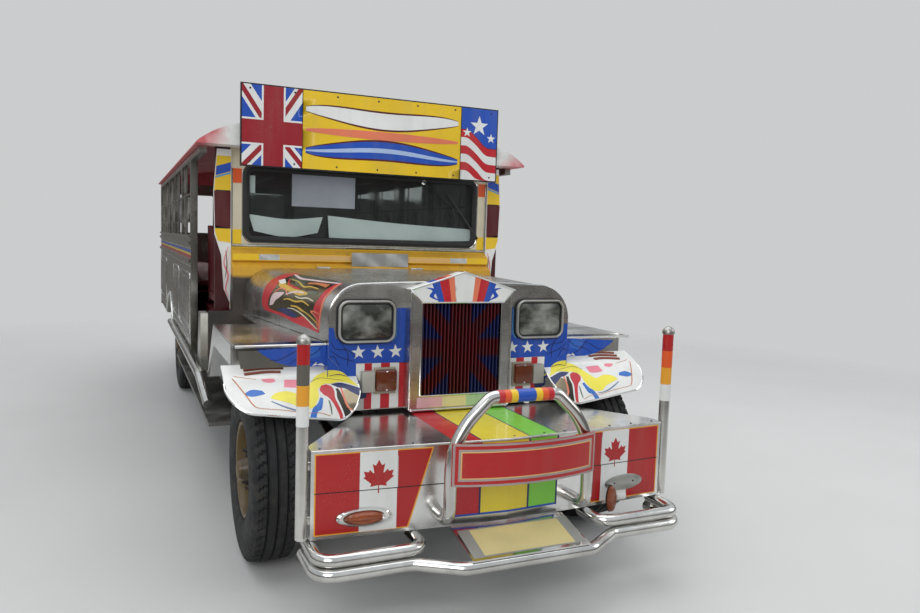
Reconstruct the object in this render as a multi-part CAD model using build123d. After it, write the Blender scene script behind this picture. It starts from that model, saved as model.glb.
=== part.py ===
"""A long-wheelbase jeepney, built the way a body shop builds one: a ladder frame on leaf springs,
a stainless nose with a loose hood, an open-sided passenger body and a long bench on each side.

Millimetres. +Z is up, the nose faces -Y and +X is the vehicle's left. The origin is on the floor at
the middle of the outer box. Heights are above the floor, and stations along Y are counted from the
front axle or the rear axle.
"""

from build123d import *
import math
import os

# Overall layout
WHEELBASE = 3850
FRONT_OVERHANG = 1000
REAR_OVERHANG = 1650
LENGTH = FRONT_OVERHANG + WHEELBASE + REAR_OVERHANG
FRONT_AXLE = FRONT_OVERHANG - LENGTH / 2
REAR_AXLE = FRONT_AXLE + WHEELBASE
REAR_TIP = LENGTH / 2
SEAT_GAP = 0.3  # clearance where curved or moving pieces meet
BAR_SIDES = 12  # flats round a bar or tube
BEND_STEP = 30  # most degrees turned at one mitre of a bend
WHEEL_SIDES = 24  # flats round a tyre or rim

# Wheels, axles and steering
TYRE_RADIUS = 390
TYRE_WIDTH = 200
TRACK_HALF = 809
BEAD_RADIUS = 199
RIM_FLANGE_RADIUS = 221
HUB_RADIUS = 60
DRUM_RADIUS = 155
DISC_FRONT = 44
DISC_THICKNESS = 14
HAND_HOLE_RADIUS = 17
HAND_HOLE_CIRCLE = 146
HAND_HOLES = 8
SPINDLE_RADIUS = 24
SPINDLE_CLEARANCE = 0.1
SPINDLE_END = 84  # beyond the wheel's middle
AXLE_Z = TYRE_RADIUS
AXLE_TUBE_RADIUS = 42
DIFFERENTIAL_RADIUS = 130
KINGPIN_X = 640
KINGPIN_RADIUS = 15
KINGPIN_CLEARANCE = 0.1
KINGPIN_EYE = 35  # half height of the beam's eye
YOKE_GAP = KINGPIN_EYE + 1
YOKE_EAR = 24
BEAM_HALF_HEIGHT = 30
BEAM_Z = AXLE_Z - 40
STEER_ARM = 170
TIE_ROD_Z = AXLE_Z - 70
TIE_ROD_RADIUS = 13
STEER_X = 415
WHEEL_CENTRE = (STEER_X, FRONT_AXLE + 1420, 1262)
COLUMN_FOOT = (STEER_X, FRONT_AXLE + 690, 665)
COLUMN_RADIUS = 20
STEERING_WHEEL_RADIUS = 195

# Ladder frame, springs and drive
RAIL_X = 380
RAIL_WIDTH = 70
RAIL_OUTER = RAIL_X + RAIL_WIDTH
RAIL_MIDDLE = RAIL_X + RAIL_WIDTH / 2
RAIL_WALL = 6
FRAME_BOTTOM = 500
FRAME_DEPTH = 120
FRAME_TOP = FRAME_BOTTOM + FRAME_DEPTH
FRAME_FRONT = FRONT_AXLE - 560
FRAME_REAR = REAR_TIP - 120
JACK_PAD_Y = FRONT_AXLE + 1350
JACK_PAD = 8
SPRING_WIDTH = 60
LEAF = 12
LEAF_SPANS = (0.72, 0.45)  # reach of the second and third leaves beside the first
LEAF_SEAT = 0.12  # share of the reach that lies flat on the axle
SPRING_EYE_RADIUS = 20
TOW_EYE_RADIUS = 16
TOW_EYE = (REAR_TIP - 60, 557)  # station and height
TOW_PLATE = 14
ENGINE_FRONT = FRONT_AXLE + 120
ENGINE_REAR = FRONT_AXLE + 830
GEARBOX_REAR = FRONT_AXLE + 1420
OUTPUT_Z = 462
SHAFT_REAR = REAR_AXLE - 150
SHAFT_RADIUS = 34
EXHAUST_RADIUS = 24
SILENCER_RADIUS = 80
TANK_WIDTH = 280
TANK_HEIGHT = 260
TANK_LENGTH = 900

# Body
BODY_HALF = 970
WALL = 40
BODY_INNER = BODY_HALF - WALL
FLOOR_THICKNESS = 30
FLOOR_TOP = FRAME_TOP + FLOOR_THICKNESS
SILL_BOTTOM = FLOOR_TOP - 10
SIDE_TOP = 1900
FIREWALL = FRONT_AXLE + 1060
COWL_REAR = FRONT_AXLE + 1160
COWL_SHEET = 12
PILLAR_DEPTH = 40
B_POST = FRONT_AXLE + 1700
BODY_REAR = REAR_TIP - 60
REAR_PANEL = 40
FLOOR_FRONT = FIREWALL + COWL_SHEET
FLOOR_REAR = BODY_REAR - REAR_PANEL
ARCH_RADIUS = 460
WHEEL_BOX_INNER = 660
WHEEL_BOX_TOP = 880
WHEEL_BOX_SHEET = 8

# Windows, doorways and mouldings
WINDOW_SILL = 1385
WINDOW_TOP = SIDE_TOP - 55
WINDOW_COUNT = 5
WINDOW_POST = 70
WINDOW_PITCH = (FLOOR_REAR - B_POST) / WINDOW_COUNT
MOULDINGS = ((1222, 24), (1335, 24), (1378, 18))  # height above the floor, width
MOULDING_DEPTH = 14
RING_Z = 1560
RING_RADIUS = 95
GRILLE_BAR = 9
DOORWAY_HALF = 330
REAR_WINDOW_X = (440, 820)
REAR_WINDOW_TOP = 1790
PLATE_HOLE_SPACING = 300
PLATE_HOLE_RADIUS = 4
PLATE_HOLE_X = 640
PLATE_HOLE_Z = 900

# Windscreen
FRAME_HALF = 800
PILLAR_OUTER = FRAME_HALF + 85
LEDGE_LOW = 1246
LEDGE_HIGH = 1307
LEDGE_FRONT = FRONT_AXLE + 1104
SCUTTLE_TOP = LEDGE_HIGH + 18
GLASS_HALF = 728
GLASS_LOW = 1365
GLASS_HIGH = 1790
GLASS_THICKNESS = 6
GLASS_CORNER = 45
GLASS_SET_BACK = 14
GLASS_LIP = 15
WING_THICKNESS = 14

# Roof and sign
ROOF_FRONT = FRONT_AXLE + 1020
ROOF_RISE = 190
ROOF_CROWN = SIDE_TOP + ROOF_RISE
ROOF_SHOULDER = (BODY_HALF - 170, ROOF_CROWN - 92)
ROOF_HAUNCH = (BODY_HALF - 40, ROOF_CROWN - 148)
ROOF_EDGE = (BODY_HALF + 25, SIDE_TOP - 5)
ROOF_SOFFIT = SIDE_TOP - 15
ROOF_THICKNESS = 20
ROOF_CAP = 14
ROOF_PLAY = 2  # beside the body's side panels
SIGN_HALF = 776
SIGN_LOW = 1774
SIGN_HIGH = 2219
SIGN_THICKNESS = 22
SIGN_STANDOFF = 18

# Nose
FASCIA_Y = FRONT_AXLE - 228
FASCIA_THICKNESS = 20
FASCIA_REAR = FASCIA_Y + FASCIA_THICKNESS
FASCIA_HALF = 583
FASCIA_LOW = 672
FASCIA_SHOULDER = 430
HOOD_TOP = 1212
HOOD_REAR_HALF = 742
HOOD_REAR_SHOULDER = 590
HOOD_SHEET = 8
HOOD_GAP = 2
HOOD_FRONT = FASCIA_REAR + HOOD_GAP
HOOD_REAR = FIREWALL - 6
HINGE_X = (250, 330)
HINGE_RADIUS = 6
HINGE_Z = HOOD_TOP + 10
HINGE_Y = FIREWALL - HINGE_RADIUS - 1
SHELL_HALF = 245
SHELL_Y = FRONT_AXLE - 290
CAP_PEAK = 1273
CAP_CORNER = 1195
CAP_OVERHANG = 5
CAP_PROUD = 12
CAP_FOOT_HALF = 195
GRILLE_HALF = 190
GRILLE_LOW = 733
GRILLE_HIGH = 1141
SLAT_COUNT = 22
SLAT_WIDTH = 5
LAMP_X = 420
LAMP_Z = 1056
BEZEL_WIDTH = 262
BEZEL_HEIGHT = 192
BEZEL_PROUD = 26

# Front wings
FENDER_TOP = 962
FENDER_FRONT = FRONT_AXLE - 120
FENDER_OUTER = 963
FENDER_INNER = 548
FENDER_SKIRT = 866
FENDER_SHEET = 8
FENDER_BEND = FRONT_AXLE + 520
FENDER_FOOT = FRONT_AXLE + 780
FLARE_SHEET = 9
FLARE_OUTER = 1004
FLARE_INNER = 458
FLARE_LIP = (FRONT_AXLE - 385, 668)
FLARE_CORNER = 115

# Bumper
DECK_Z = 657
DECK_SHEET = 8
VALANCE_SHEET = 14
BUMPER_LOW = 331
BUMPER_HALF = 765
BUMPER_TIP = FRONT_AXLE - 775
BUMPER_END = FRONT_AXLE - 722
BUMPER_SLOPE = (BUMPER_END - BUMPER_TIP) / BUMPER_HALF
BUMPER_RETURN = BUMPER_END + 60
GUARD_RADIUS = 24
GUARD_FRONT = FRONT_AXLE - FRONT_OVERHANG + GUARD_RADIUS
GUARD_Y = FRONT_AXLE - 872
HOOP_LEG = 292
HOOP_TOP = 846
HOOP_FOOT = 392
LOWER_TUBE_Z = 258
BOARD_HALF = 300
BOARD_LOW = 536
BOARD_HIGH = 692
BOARD_SHEET = 10
BOARD_BULGE = 52
POST_RADIUS = 20
POST_Y = FRONT_AXLE - 705
POST_TOP = 1040

# Steps and seats
STEP_Z = 400
STEP_SHEET = 20
SILL_TUBE_RADIUS = 24
BENCH_FRONT = B_POST + 520
BENCH_REAR = FLOOR_REAR - 60
BENCH_TOP = 1000
BENCH_FACE = 520
SEAT_SHEET = 12
CUSHION = 90
CAB_SEAT = (B_POST - 230, B_POST + 230)
CAB_SEAT_X = (130, BODY_INNER - 70)
CAB_SEAT_TOP = BENCH_TOP - 60
RAIL_HEIGHT = 1820
GRAB_RAIL_X = 360
GRAB_RAIL_RADIUS = 14
GRAB_HANGERS = 5


def block(x, y, z):
    """A block between the low and high values of each pair."""
    middle = [(low + high) / 2 for low, high in (x, y, z)]
    return Pos(*middle) * Box(x[1] - x[0], y[1] - y[0], z[1] - z[0])


def prism(points, way, amount):
    """A flat outline of 3-D points pushed along a direction."""
    return extrude(make_face(Polyline(*points, close=True)), amount=amount, dir=way)


def side_prism(outline, x):
    """An outline of (y, z) points between two x values."""
    return prism([(x[0], y, z) for y, z in outline], (1, 0, 0), x[1] - x[0])


def front_prism(outline, y):
    """An outline of (x, z) points between two y values."""
    return prism([(x, y[0], z) for x, z in outline], (0, 1, 0), y[1] - y[0])


def plan_prism(outline, z):
    """An outline of (x, y) points between two heights."""
    return prism([(x, y, z[0]) for x, y in outline], (0, 0, 1), z[1] - z[0])


def rod(start, end, radius):
    """A round bar between two points."""
    axis = Vector(*end) - Vector(*start)
    return Plane(origin=start, z_dir=axis) * Cylinder(
        radius, axis.length, align=(Align.CENTER, Align.CENTER, Align.MIN)
    )


def across(start, way):
    """The plane across a direction at its start, with the plane's X axis level."""
    level = Vector(0, 0, 1).cross(way)
    return Plane(origin=start, x_dir=level if level.length > 0.01 * way.length else (1, 0, 0), z_dir=way)


def bar(start, end, radius):
    """A bar of many flats between two points."""
    way = Vector(*end) - Vector(*start)
    return extrude(across(start, way) * RegularPolygon(radius, BAR_SIDES), amount=way.length)


def bent_tube(points, bend, radius):
    """A bar of many flats along straight runs, each bend turned in a few short mitres."""
    points = [Vector(*point) for point in points]
    route = [points[0]]
    for before, corner, after in zip(points, points[1:], points[2:]):
        back, on = (before - corner).normalized(), (after - corner).normalized()
        turn = math.radians(180 - back.get_angle(on))
        centre = corner + (back + on).normalized() * (bend / math.cos(turn / 2))
        reach = bend * math.tan(turn / 2)
        first, last = corner + back * reach - centre, corner + on * reach - centre
        steps = math.ceil(math.degrees(turn) / BEND_STEP)
        for number in range(steps + 1):
            part = turn * number / steps
            spoke = first * math.sin(turn - part) + last * math.sin(part)
            route.append(centre + spoke * (1 / math.sin(turn)))
    route.append(points[-1])
    section = across(route[0], route[1] - route[0]) * RegularPolygon(radius, BAR_SIDES)
    return sweep(section, path=Polyline(*route), transition=Transition.RIGHT)


def turned(profile, sides):
    """A ring about the X axis: an outline of (along, radius) points carried round a path of many flats."""
    middle = sum(radius for _, radius in profile) / len(profile)
    corner = middle / math.cos(math.pi / sides)
    route = [(0, 0, middle)]
    for number in range(sides):
        turn = 2 * math.pi * (number + 0.5) / sides
        route.append((0, corner * math.sin(turn), corner * math.cos(turn)))
    face = make_face(Polyline(*[(along, 0, radius) for along, radius in profile], close=True))
    return sweep(face, path=Polyline(*route, route[0]), transition=Transition.RIGHT)


def oval(half_width, half_height):
    """A flat oval of sixteen sides."""
    turns = [math.pi * number / 8 for number in range(16)]
    return make_face(
        Polyline(*[(half_width * math.cos(t), half_height * math.sin(t)) for t in turns], close=True)
    )


def rounded_outline(width, height, corner, y, x, z, depth):
    """A plate facing -Y with stepped round corners, its front at y and its middle at x, z."""
    outline = []
    for quarter, (right, up) in enumerate(((1, 1), (-1, 1), (-1, -1), (1, -1))):
        for step in range(4):
            turn = math.radians(90 * quarter + 30 * step)
            outline.append(
                (
                    x + right * (width / 2 - corner) + corner * math.cos(turn),
                    z + up * (height / 2 - corner) + corner * math.sin(turn),
                )
            )
    return front_prism(outline, (y, y + depth))


def both(shape):
    """A piece on the left side and its twin on the right."""
    return [shape, mirror(shape, about=Plane.YZ)]


def save(name, solids):
    """Writes one or more solids as one piece of the vehicle."""
    found = [solid for shape in solids for solid in shape.solids()]
    whole = found[0] if len(found) == 1 else Compound(children=found)
    export_step(whole, f"parts/{name}.step")


def tyre():
    """A tyre about the X axis through the origin: tread, shoulders, sidewalls and beads."""
    half = TYRE_WIDTH / 2
    profile = [
        (-half + 25, BEAD_RADIUS),
        (-half, BEAD_RADIUS + 70),
        (-half, TYRE_RADIUS - 45),
        (-half + 22, TYRE_RADIUS),
        (half - 22, TYRE_RADIUS),
        (half, TYRE_RADIUS - 45),
        (half, BEAD_RADIUS + 70),
        (half - 25, BEAD_RADIUS),
    ]
    return turned(profile, WHEEL_SIDES)


def rim(bore):
    """A disc wheel about the X axis with hand holes, its hub and the brake drum behind it."""
    barrel = BEAD_RADIUS - SEAT_GAP
    inside = barrel - 10
    front, back = DISC_FRONT, DISC_FRONT - DISC_THICKNESS
    profile = [
        (84, RIM_FLANGE_RADIUS),
        (76, barrel),
        (-76, barrel),
        (-84, RIM_FLANGE_RADIUS),
        (-84, inside),
        (back - 12, inside),
        (back, 166),
        (back, HUB_RADIUS),
        (-30, HUB_RADIUS),
        (-30, DRUM_RADIUS),
        (-88, DRUM_RADIUS),
        (-88, bore / 2),
        (96, bore / 2),
        (96, 42),
        (front, HUB_RADIUS),
        (front, 166),
        (front - 12, inside),
        (84, inside),
    ]
    wheel = turned(profile, WHEEL_SIDES) - Rot(0, 90, 0) * Cylinder(bore, 400)
    start = Plane(origin=(back - 5, 0, HAND_HOLE_CIRCLE), x_dir=(0, 1, 0), z_dir=(1, 0, 0))
    hand_hole = extrude(start * RegularPolygon(HAND_HOLE_RADIUS, 8), amount=DISC_THICKNESS + 10)
    for number in range(HAND_HOLES):
        wheel -= Rot(360 * number / HAND_HOLES, 0, 0) * hand_hole
    return wheel


def wheel_at(shape, side, y):
    """A wheel piece moved to its axle's end, with its face outwards."""
    facing = shape if side > 0 else mirror(shape, about=Plane.YZ)
    return Pos(side * TRACK_HALF, y, AXLE_Z) * facing


def frame_rails():
    """Two long channels, open towards each other, with a jacking pad under each."""
    outer, inner = RAIL_OUTER, RAIL_X
    low, high = FRAME_BOTTOM, FRAME_TOP
    channel = [
        (inner, low),
        (outer, low),
        (outer, high),
        (inner, high),
        (inner, high - RAIL_WALL),
        (outer - RAIL_WALL, high - RAIL_WALL),
        (outer - RAIL_WALL, low + RAIL_WALL),
        (inner, low + RAIL_WALL),
    ]
    pad = block((inner, outer), (JACK_PAD_Y - 50, JACK_PAD_Y + 50), (low - JACK_PAD, low))
    save("frame_rails", both(front_prism(channel, (FRAME_FRONT, FRAME_REAR)) + pad))


def crossmembers():
    """Channels across the frame, and the last one with an upright tow lug and its eye."""
    reach = RAIL_OUTER - RAIL_WALL
    low, high = FRAME_BOTTOM + 20, FRAME_TOP - 20
    half = 25
    stations = (FRONT_AXLE - 500, B_POST - 200, FRONT_AXLE + 2500, REAR_AXLE - 620, REAR_AXLE + 700)
    solids = [block((-reach, reach), (y - half, y + half), (low, high)) for y in stations]
    rear = FRAME_REAR - half - 5
    last = block((-reach, reach), (rear - half, rear + half), (low, high))
    y, z = TOW_EYE
    lug = [(rear, low), (y + 20, low), (y + 40, z - 15), (y + 40, z + 15), (y + 20, high), (rear, high)]
    last += side_prism(lug, (-TOW_PLATE / 2, TOW_PLATE / 2))
    last -= Pos(0, y, z) * Rot(0, 90, 0) * Cylinder(TOW_EYE_RADIUS, 4 * TOW_PLATE)
    solids.append(last)
    save("crossmembers", solids)


def front_axle_beam():
    """An I-beam with raised ends that carry the kingpin eyes."""
    half, flange, web = BEAM_HALF_HEIGHT, 32, 9
    eye_radius = 36
    section = [
        (-flange, -half), (flange, -half), (flange, -half + 14), (web, -half + 14),
        (web, half - 14), (flange, half - 14), (flange, half), (-flange, half),
        (-flange, half - 14), (-web, half - 14), (-web, -half + 14), (-flange, -half + 14),
    ]
    straight = RAIL_OUTER + 80
    beam = side_prism([(FRONT_AXLE + y, BEAM_Z + z) for y, z in section], (-straight, straight))
    arm = front_prism(
        [
            (straight - 20, BEAM_Z - half),
            (straight, BEAM_Z - half),
            (KINGPIN_X - eye_radius - 2, AXLE_Z - KINGPIN_EYE),
            (KINGPIN_X, AXLE_Z - KINGPIN_EYE),
            (KINGPIN_X, AXLE_Z + KINGPIN_EYE),
            (KINGPIN_X - eye_radius - 2, AXLE_Z + KINGPIN_EYE),
            (straight - 20, BEAM_Z + half),
        ],
        (FRONT_AXLE - 26, FRONT_AXLE + 26),
    )
    for side in (1, -1):
        end = arm if side > 0 else mirror(arm, about=Plane.YZ)
        x = side * KINGPIN_X
        low, high = (x, FRONT_AXLE, AXLE_Z - KINGPIN_EYE), (x, FRONT_AXLE, AXLE_Z + KINGPIN_EYE)
        beam = beam + end + bar(low, high, eye_radius)
        hole = Cylinder(KINGPIN_RADIUS + KINGPIN_CLEARANCE, 3 * KINGPIN_EYE)
        beam -= Pos(x, FRONT_AXLE, AXLE_Z) * hole
    save("front_axle_beam", [beam])


def knuckle():
    """The left steering knuckle: yoke, kingpin, spindle, backing plate and steering arm."""
    gap, ear = YOKE_GAP, YOKE_EAR
    centre = Pos(KINGPIN_X, FRONT_AXLE, AXLE_Z)
    body = centre * Cylinder(KINGPIN_RADIUS, 2 * (gap + ear))
    for low in (AXLE_Z - gap - ear, AXLE_Z + gap):
        body += bar((KINGPIN_X, FRONT_AXLE, low), (KINGPIN_X, FRONT_AXLE, low + ear), 30)
        body += block((KINGPIN_X, KINGPIN_X + 62), (FRONT_AXLE - 24, FRONT_AXLE + 24), (low, low + ear))
    body += block(
        (KINGPIN_X + 42, KINGPIN_X + 68),
        (FRONT_AXLE - 40, FRONT_AXLE + 40),
        (AXLE_Z - gap - ear, AXLE_Z + gap + ear),
    )
    body += rod(
        (KINGPIN_X + 60, FRONT_AXLE, AXLE_Z),
        (TRACK_HALF + SPINDLE_END, FRONT_AXLE, AXLE_Z),
        SPINDLE_RADIUS,
    )
    arm = side_prism(
        [
            (FRONT_AXLE, AXLE_Z - gap - ear),
            (FRONT_AXLE + STEER_ARM - 30, TIE_ROD_Z + TIE_ROD_RADIUS + SEAT_GAP),
            (FRONT_AXLE + STEER_ARM + 22, TIE_ROD_Z + TIE_ROD_RADIUS + SEAT_GAP),
            (FRONT_AXLE + STEER_ARM + 22, TIE_ROD_Z + TIE_ROD_RADIUS + 18),
            (FRONT_AXLE, AXLE_Z - gap),
        ],
        (KINGPIN_X - 18, KINGPIN_X + 18),
    )
    return body + arm


def steering():
    """Both knuckles and the tie rod that joins their arms."""
    left = knuckle()
    save("knuckle_left", [left])
    save("knuckle_right", [mirror(left, about=Plane.YZ)])
    y = FRONT_AXLE + STEER_ARM
    link = bar((-KINGPIN_X, y, TIE_ROD_Z), (KINGPIN_X, y, TIE_ROD_Z), TIE_ROD_RADIUS - 4)
    for x in (KINGPIN_X, -KINGPIN_X):
        link += bar((x, y, TIE_ROD_Z - TIE_ROD_RADIUS), (x, y, TIE_ROD_Z + TIE_ROD_RADIUS), 24)
    save("tie_rod", [link])


def rear_axle():
    """The axle tube with its spindles and differential."""
    reach = TRACK_HALF - 95
    end = TRACK_HALF + SPINDLE_END
    axle = bar((-reach, REAR_AXLE, AXLE_Z), (reach, REAR_AXLE, AXLE_Z), AXLE_TUBE_RADIUS)
    axle += rod((-end, REAR_AXLE, AXLE_Z), (end, REAR_AXLE, AXLE_Z), SPINDLE_RADIUS)
    housing = bar((0, SHAFT_REAR, AXLE_Z), (0, REAR_AXLE + 110, AXLE_Z), DIFFERENTIAL_RADIUS)
    save("rear_axle", [axle + housing])


def driveline():
    """The engine as one plain block with its gearbox and mounts, and the propeller shaft behind it."""
    engine = block((-230, 230), (ENGINE_FRONT, ENGINE_REAR), (430, 1060))
    gearbox = block((-140, 140), (ENGINE_REAR, GEARBOX_REAR), (OUTPUT_Z - 72, OUTPUT_Z + 128))
    mounts = block(
        (-RAIL_MIDDLE, RAIL_MIDDLE), (ENGINE_FRONT + 300, ENGINE_FRONT + 360), (FRAME_TOP, FRAME_TOP + 40)
    )
    save("engine_block", [engine + gearbox + mounts])
    shaft = bar((0, GEARBOX_REAR, OUTPUT_Z), (0, SHAFT_REAR, AXLE_Z + 20), SHAFT_RADIUS)
    trim_rear = block((-60, 60), (SHAFT_REAR, SHAFT_REAR + 60), (AXLE_Z - 60, AXLE_Z + 90))
    trim_front = block((-60, 60), (GEARBOX_REAR - 60, GEARBOX_REAR), (OUTPUT_Z - 90, OUTPUT_Z + 90))
    save("propeller_shaft", [shaft - trim_rear - trim_front])


def leaf_pack(station, reach, base, eye_z):
    """One spring: a long main leaf, shorter leaves under it, rolled eyes and their hangers."""
    x = (RAIL_MIDDLE - SPRING_WIDTH / 2, RAIL_MIDDLE + SPRING_WIDTH / 2)
    top = base + 3 * LEAF
    bend = eye_z - (top - LEAF / 2)
    second, third = LEAF_SPANS

    def point(share, depth):
        """A point at a share of the reach, some leaves below the top of the main one."""
        rise = bend * (max(0, abs(share) - LEAF_SEAT) / (1 - LEAF_SEAT)) ** 2
        return station + share * reach, top - depth * LEAF + rise

    under = [(1, 1), (second, 1), (second, 2), (third, 2), (third, 3), (LEAF_SEAT, 3)]
    over = [(LEAF_SEAT, 0), (third, 0), (second, 0), (1, 0)]
    rear = [point(share, depth) for share, depth in over + under]
    front = [point(-share, depth) for share, depth in (over + under)[::-1]]
    spring = side_prism(rear + front, x)
    for sign in (1, -1):
        y = station + sign * reach
        spring += bar((x[0], y, eye_z), (x[1], y, eye_z), SPRING_EYE_RADIUS)
        spring += block((x[0] + 12, x[1] - 12), (y - 14, y + 14), (eye_z, FRAME_BOTTOM))
    return spring


def leaf_springs():
    """Four springs, seated on the axles and hung from the rails."""
    front = leaf_pack(FRONT_AXLE, 470, BEAM_Z + BEAM_HALF_HEIGHT, 462)
    rear = leaf_pack(REAR_AXLE, 590, AXLE_Z + AXLE_TUBE_RADIUS + SEAT_GAP, 466)
    save("leaf_springs", both(front) + both(rear))


def tank_and_exhaust():
    """A fuel tank hung outside the left rail, and the exhaust along the right one."""
    tank_x = RAIL_OUTER + TANK_WIDTH / 2
    tank_z = FRAME_TOP - TANK_HEIGHT / 2
    tank = rounded_outline(TANK_WIDTH, TANK_HEIGHT, 40, FRONT_AXLE + 2050, tank_x, tank_z, TANK_LENGTH)
    save("fuel_tank", [tank])
    x = -(RAIL_OUTER + 60)
    z = FRAME_BOTTOM - 60
    route = [(-300, FRONT_AXLE + 900, z), (x, FRONT_AXLE + 1150, z), (x, REAR_AXLE - ARCH_RADIUS - 100, z)]
    pipe = bent_tube(route, 90, EXHAUST_RADIUS)
    silencer = bar((x, FRONT_AXLE + 2000, z), (x, FRONT_AXLE + 2650, z), SILENCER_RADIUS)
    strap_y = (FRONT_AXLE + 2100, FRONT_AXLE + 2140)
    hanger = block((x - 15, -RAIL_OUTER), strap_y, (FRAME_BOTTOM + 20, FRAME_BOTTOM + 30))
    hanger += block((x - 15, x + 15), strap_y, (z, FRAME_BOTTOM + 30))
    save("exhaust_pipe", [pipe + silencer + hanger])


def floor_pan():
    """The floor plate with a raised box over each rear wheel."""
    t = WHEEL_BOX_SHEET
    pan = block((-BODY_INNER, BODY_INNER), (FLOOR_FRONT, FLOOR_REAR), (FRAME_TOP, FLOOR_TOP))
    y = (REAR_AXLE - ARCH_RADIUS, REAR_AXLE + ARCH_RADIUS)
    for side in (1, -1):
        x = sorted((side * WHEEL_BOX_INNER, side * BODY_INNER))
        shell = block(x, y, (FRAME_TOP, WHEEL_BOX_TOP))
        x_hole = sorted((side * (WHEEL_BOX_INNER + t), side * BODY_INNER))
        hole = block(x_hole, (y[0] + t, y[1] - t), (FRAME_TOP - 1, WHEEL_BOX_TOP - t))
        pan = pan + shell - hole
    save("floor_pan", [pan])


def cowl():
    """The firewall with the scuttle above it, its bulged ledge, closed cheeks and hinge leaves."""
    t = COWL_SHEET
    rear = COWL_REAR + PILLAR_DEPTH
    outer = [
        (FIREWALL, FENDER_TOP),
        (FIREWALL, HOOD_TOP + 6),
        (LEDGE_FRONT + 14, LEDGE_LOW),
        (LEDGE_FRONT, LEDGE_LOW + 10),
        (LEDGE_FRONT, LEDGE_HIGH - 12),
        (COWL_REAR, SCUTTLE_TOP),
        (rear, SCUTTLE_TOP),
    ]
    inner = [
        (rear, SCUTTLE_TOP - t),
        (COWL_REAR, SCUTTLE_TOP - t),
        (LEDGE_FRONT + 14 + t, LEDGE_HIGH - 12 - t / 2),
        (LEDGE_FRONT + 14 + t, LEDGE_LOW - t / 2),
        (FIREWALL + t, HOOD_TOP - t / 2),
        (FIREWALL + t, FENDER_TOP),
    ]
    panel = side_prism(outer + inner, (-FRAME_HALF, FRAME_HALF))
    cheek = outer + [(rear, FENDER_TOP)]
    for side in (1, -1):
        panel += side_prism(cheek, sorted((side * (FRAME_HALF - t), side * FRAME_HALF)))
        front = HINGE_Y + HINGE_RADIUS + SEAT_GAP
        leaf = [
            (front, HINGE_Z - 6),
            (front, HINGE_Z + 3),
            (FIREWALL + 40, LEDGE_LOW - 3),
            (FIREWALL + t, HOOD_TOP),
        ]
        panel += side_prism(leaf, sorted((side * HINGE_X[0], side * HINGE_X[1])))
    panel += block((-BODY_INNER, BODY_INNER), (FIREWALL, FIREWALL + t), (FRAME_TOP, FENDER_TOP + t))
    save("cowl", [panel - bar(COLUMN_FOOT, WHEEL_CENTRE, COLUMN_RADIUS + SEAT_GAP)])


def windscreen():
    """The windscreen frame with its pillars and header, and the one flat pane."""
    y = (COWL_REAR, COWL_REAR + PILLAR_DEPTH)
    frame = block((-FRAME_HALF, FRAME_HALF), y, (SCUTTLE_TOP, ROOF_SOFFIT))
    for side in (1, -1):
        x = sorted((side * FRAME_HALF, side * PILLAR_OUTER))
        frame += block(x, y, (FENDER_TOP + COWL_SHEET, ROOF_SOFFIT))
    width, height = 2 * GLASS_HALF, GLASS_HIGH - GLASS_LOW
    middle = (GLASS_LOW + GLASS_HIGH) / 2
    lip = 2 * GLASS_LIP
    frame -= rounded_outline(
        width - lip, height - lip, GLASS_CORNER - GLASS_LIP, y[0] - 1, 0, middle, 2 * PILLAR_DEPTH
    )
    pane = rounded_outline(
        width, height, GLASS_CORNER, y[0] + GLASS_SET_BACK, 0, middle, GLASS_THICKNESS
    )
    save("windscreen_frame", [frame - pane])
    save("windscreen_glass", [pane])


def pillar_wings():
    """An ornamental plate on each windscreen pillar, its tail hanging beside the scuttle."""
    inner = FRAME_HALF + SEAT_GAP
    outline = [
        (inner, ROOF_SOFFIT - 13),
        (PILLAR_OUTER - 7, ROOF_SOFFIT - 13),
        (PILLAR_OUTER + 11, 1640),
        (PILLAR_OUTER + 5, 1400),
        (FRAME_HALF + 52, 1280),
        (FRAME_HALF + 38, 1090),
        (FRAME_HALF + 4, 1010),
        (inner, 1180),
    ]
    save("pillar_wings", both(front_prism(outline, (COWL_REAR - WING_THICKNESS, COWL_REAR))))


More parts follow.
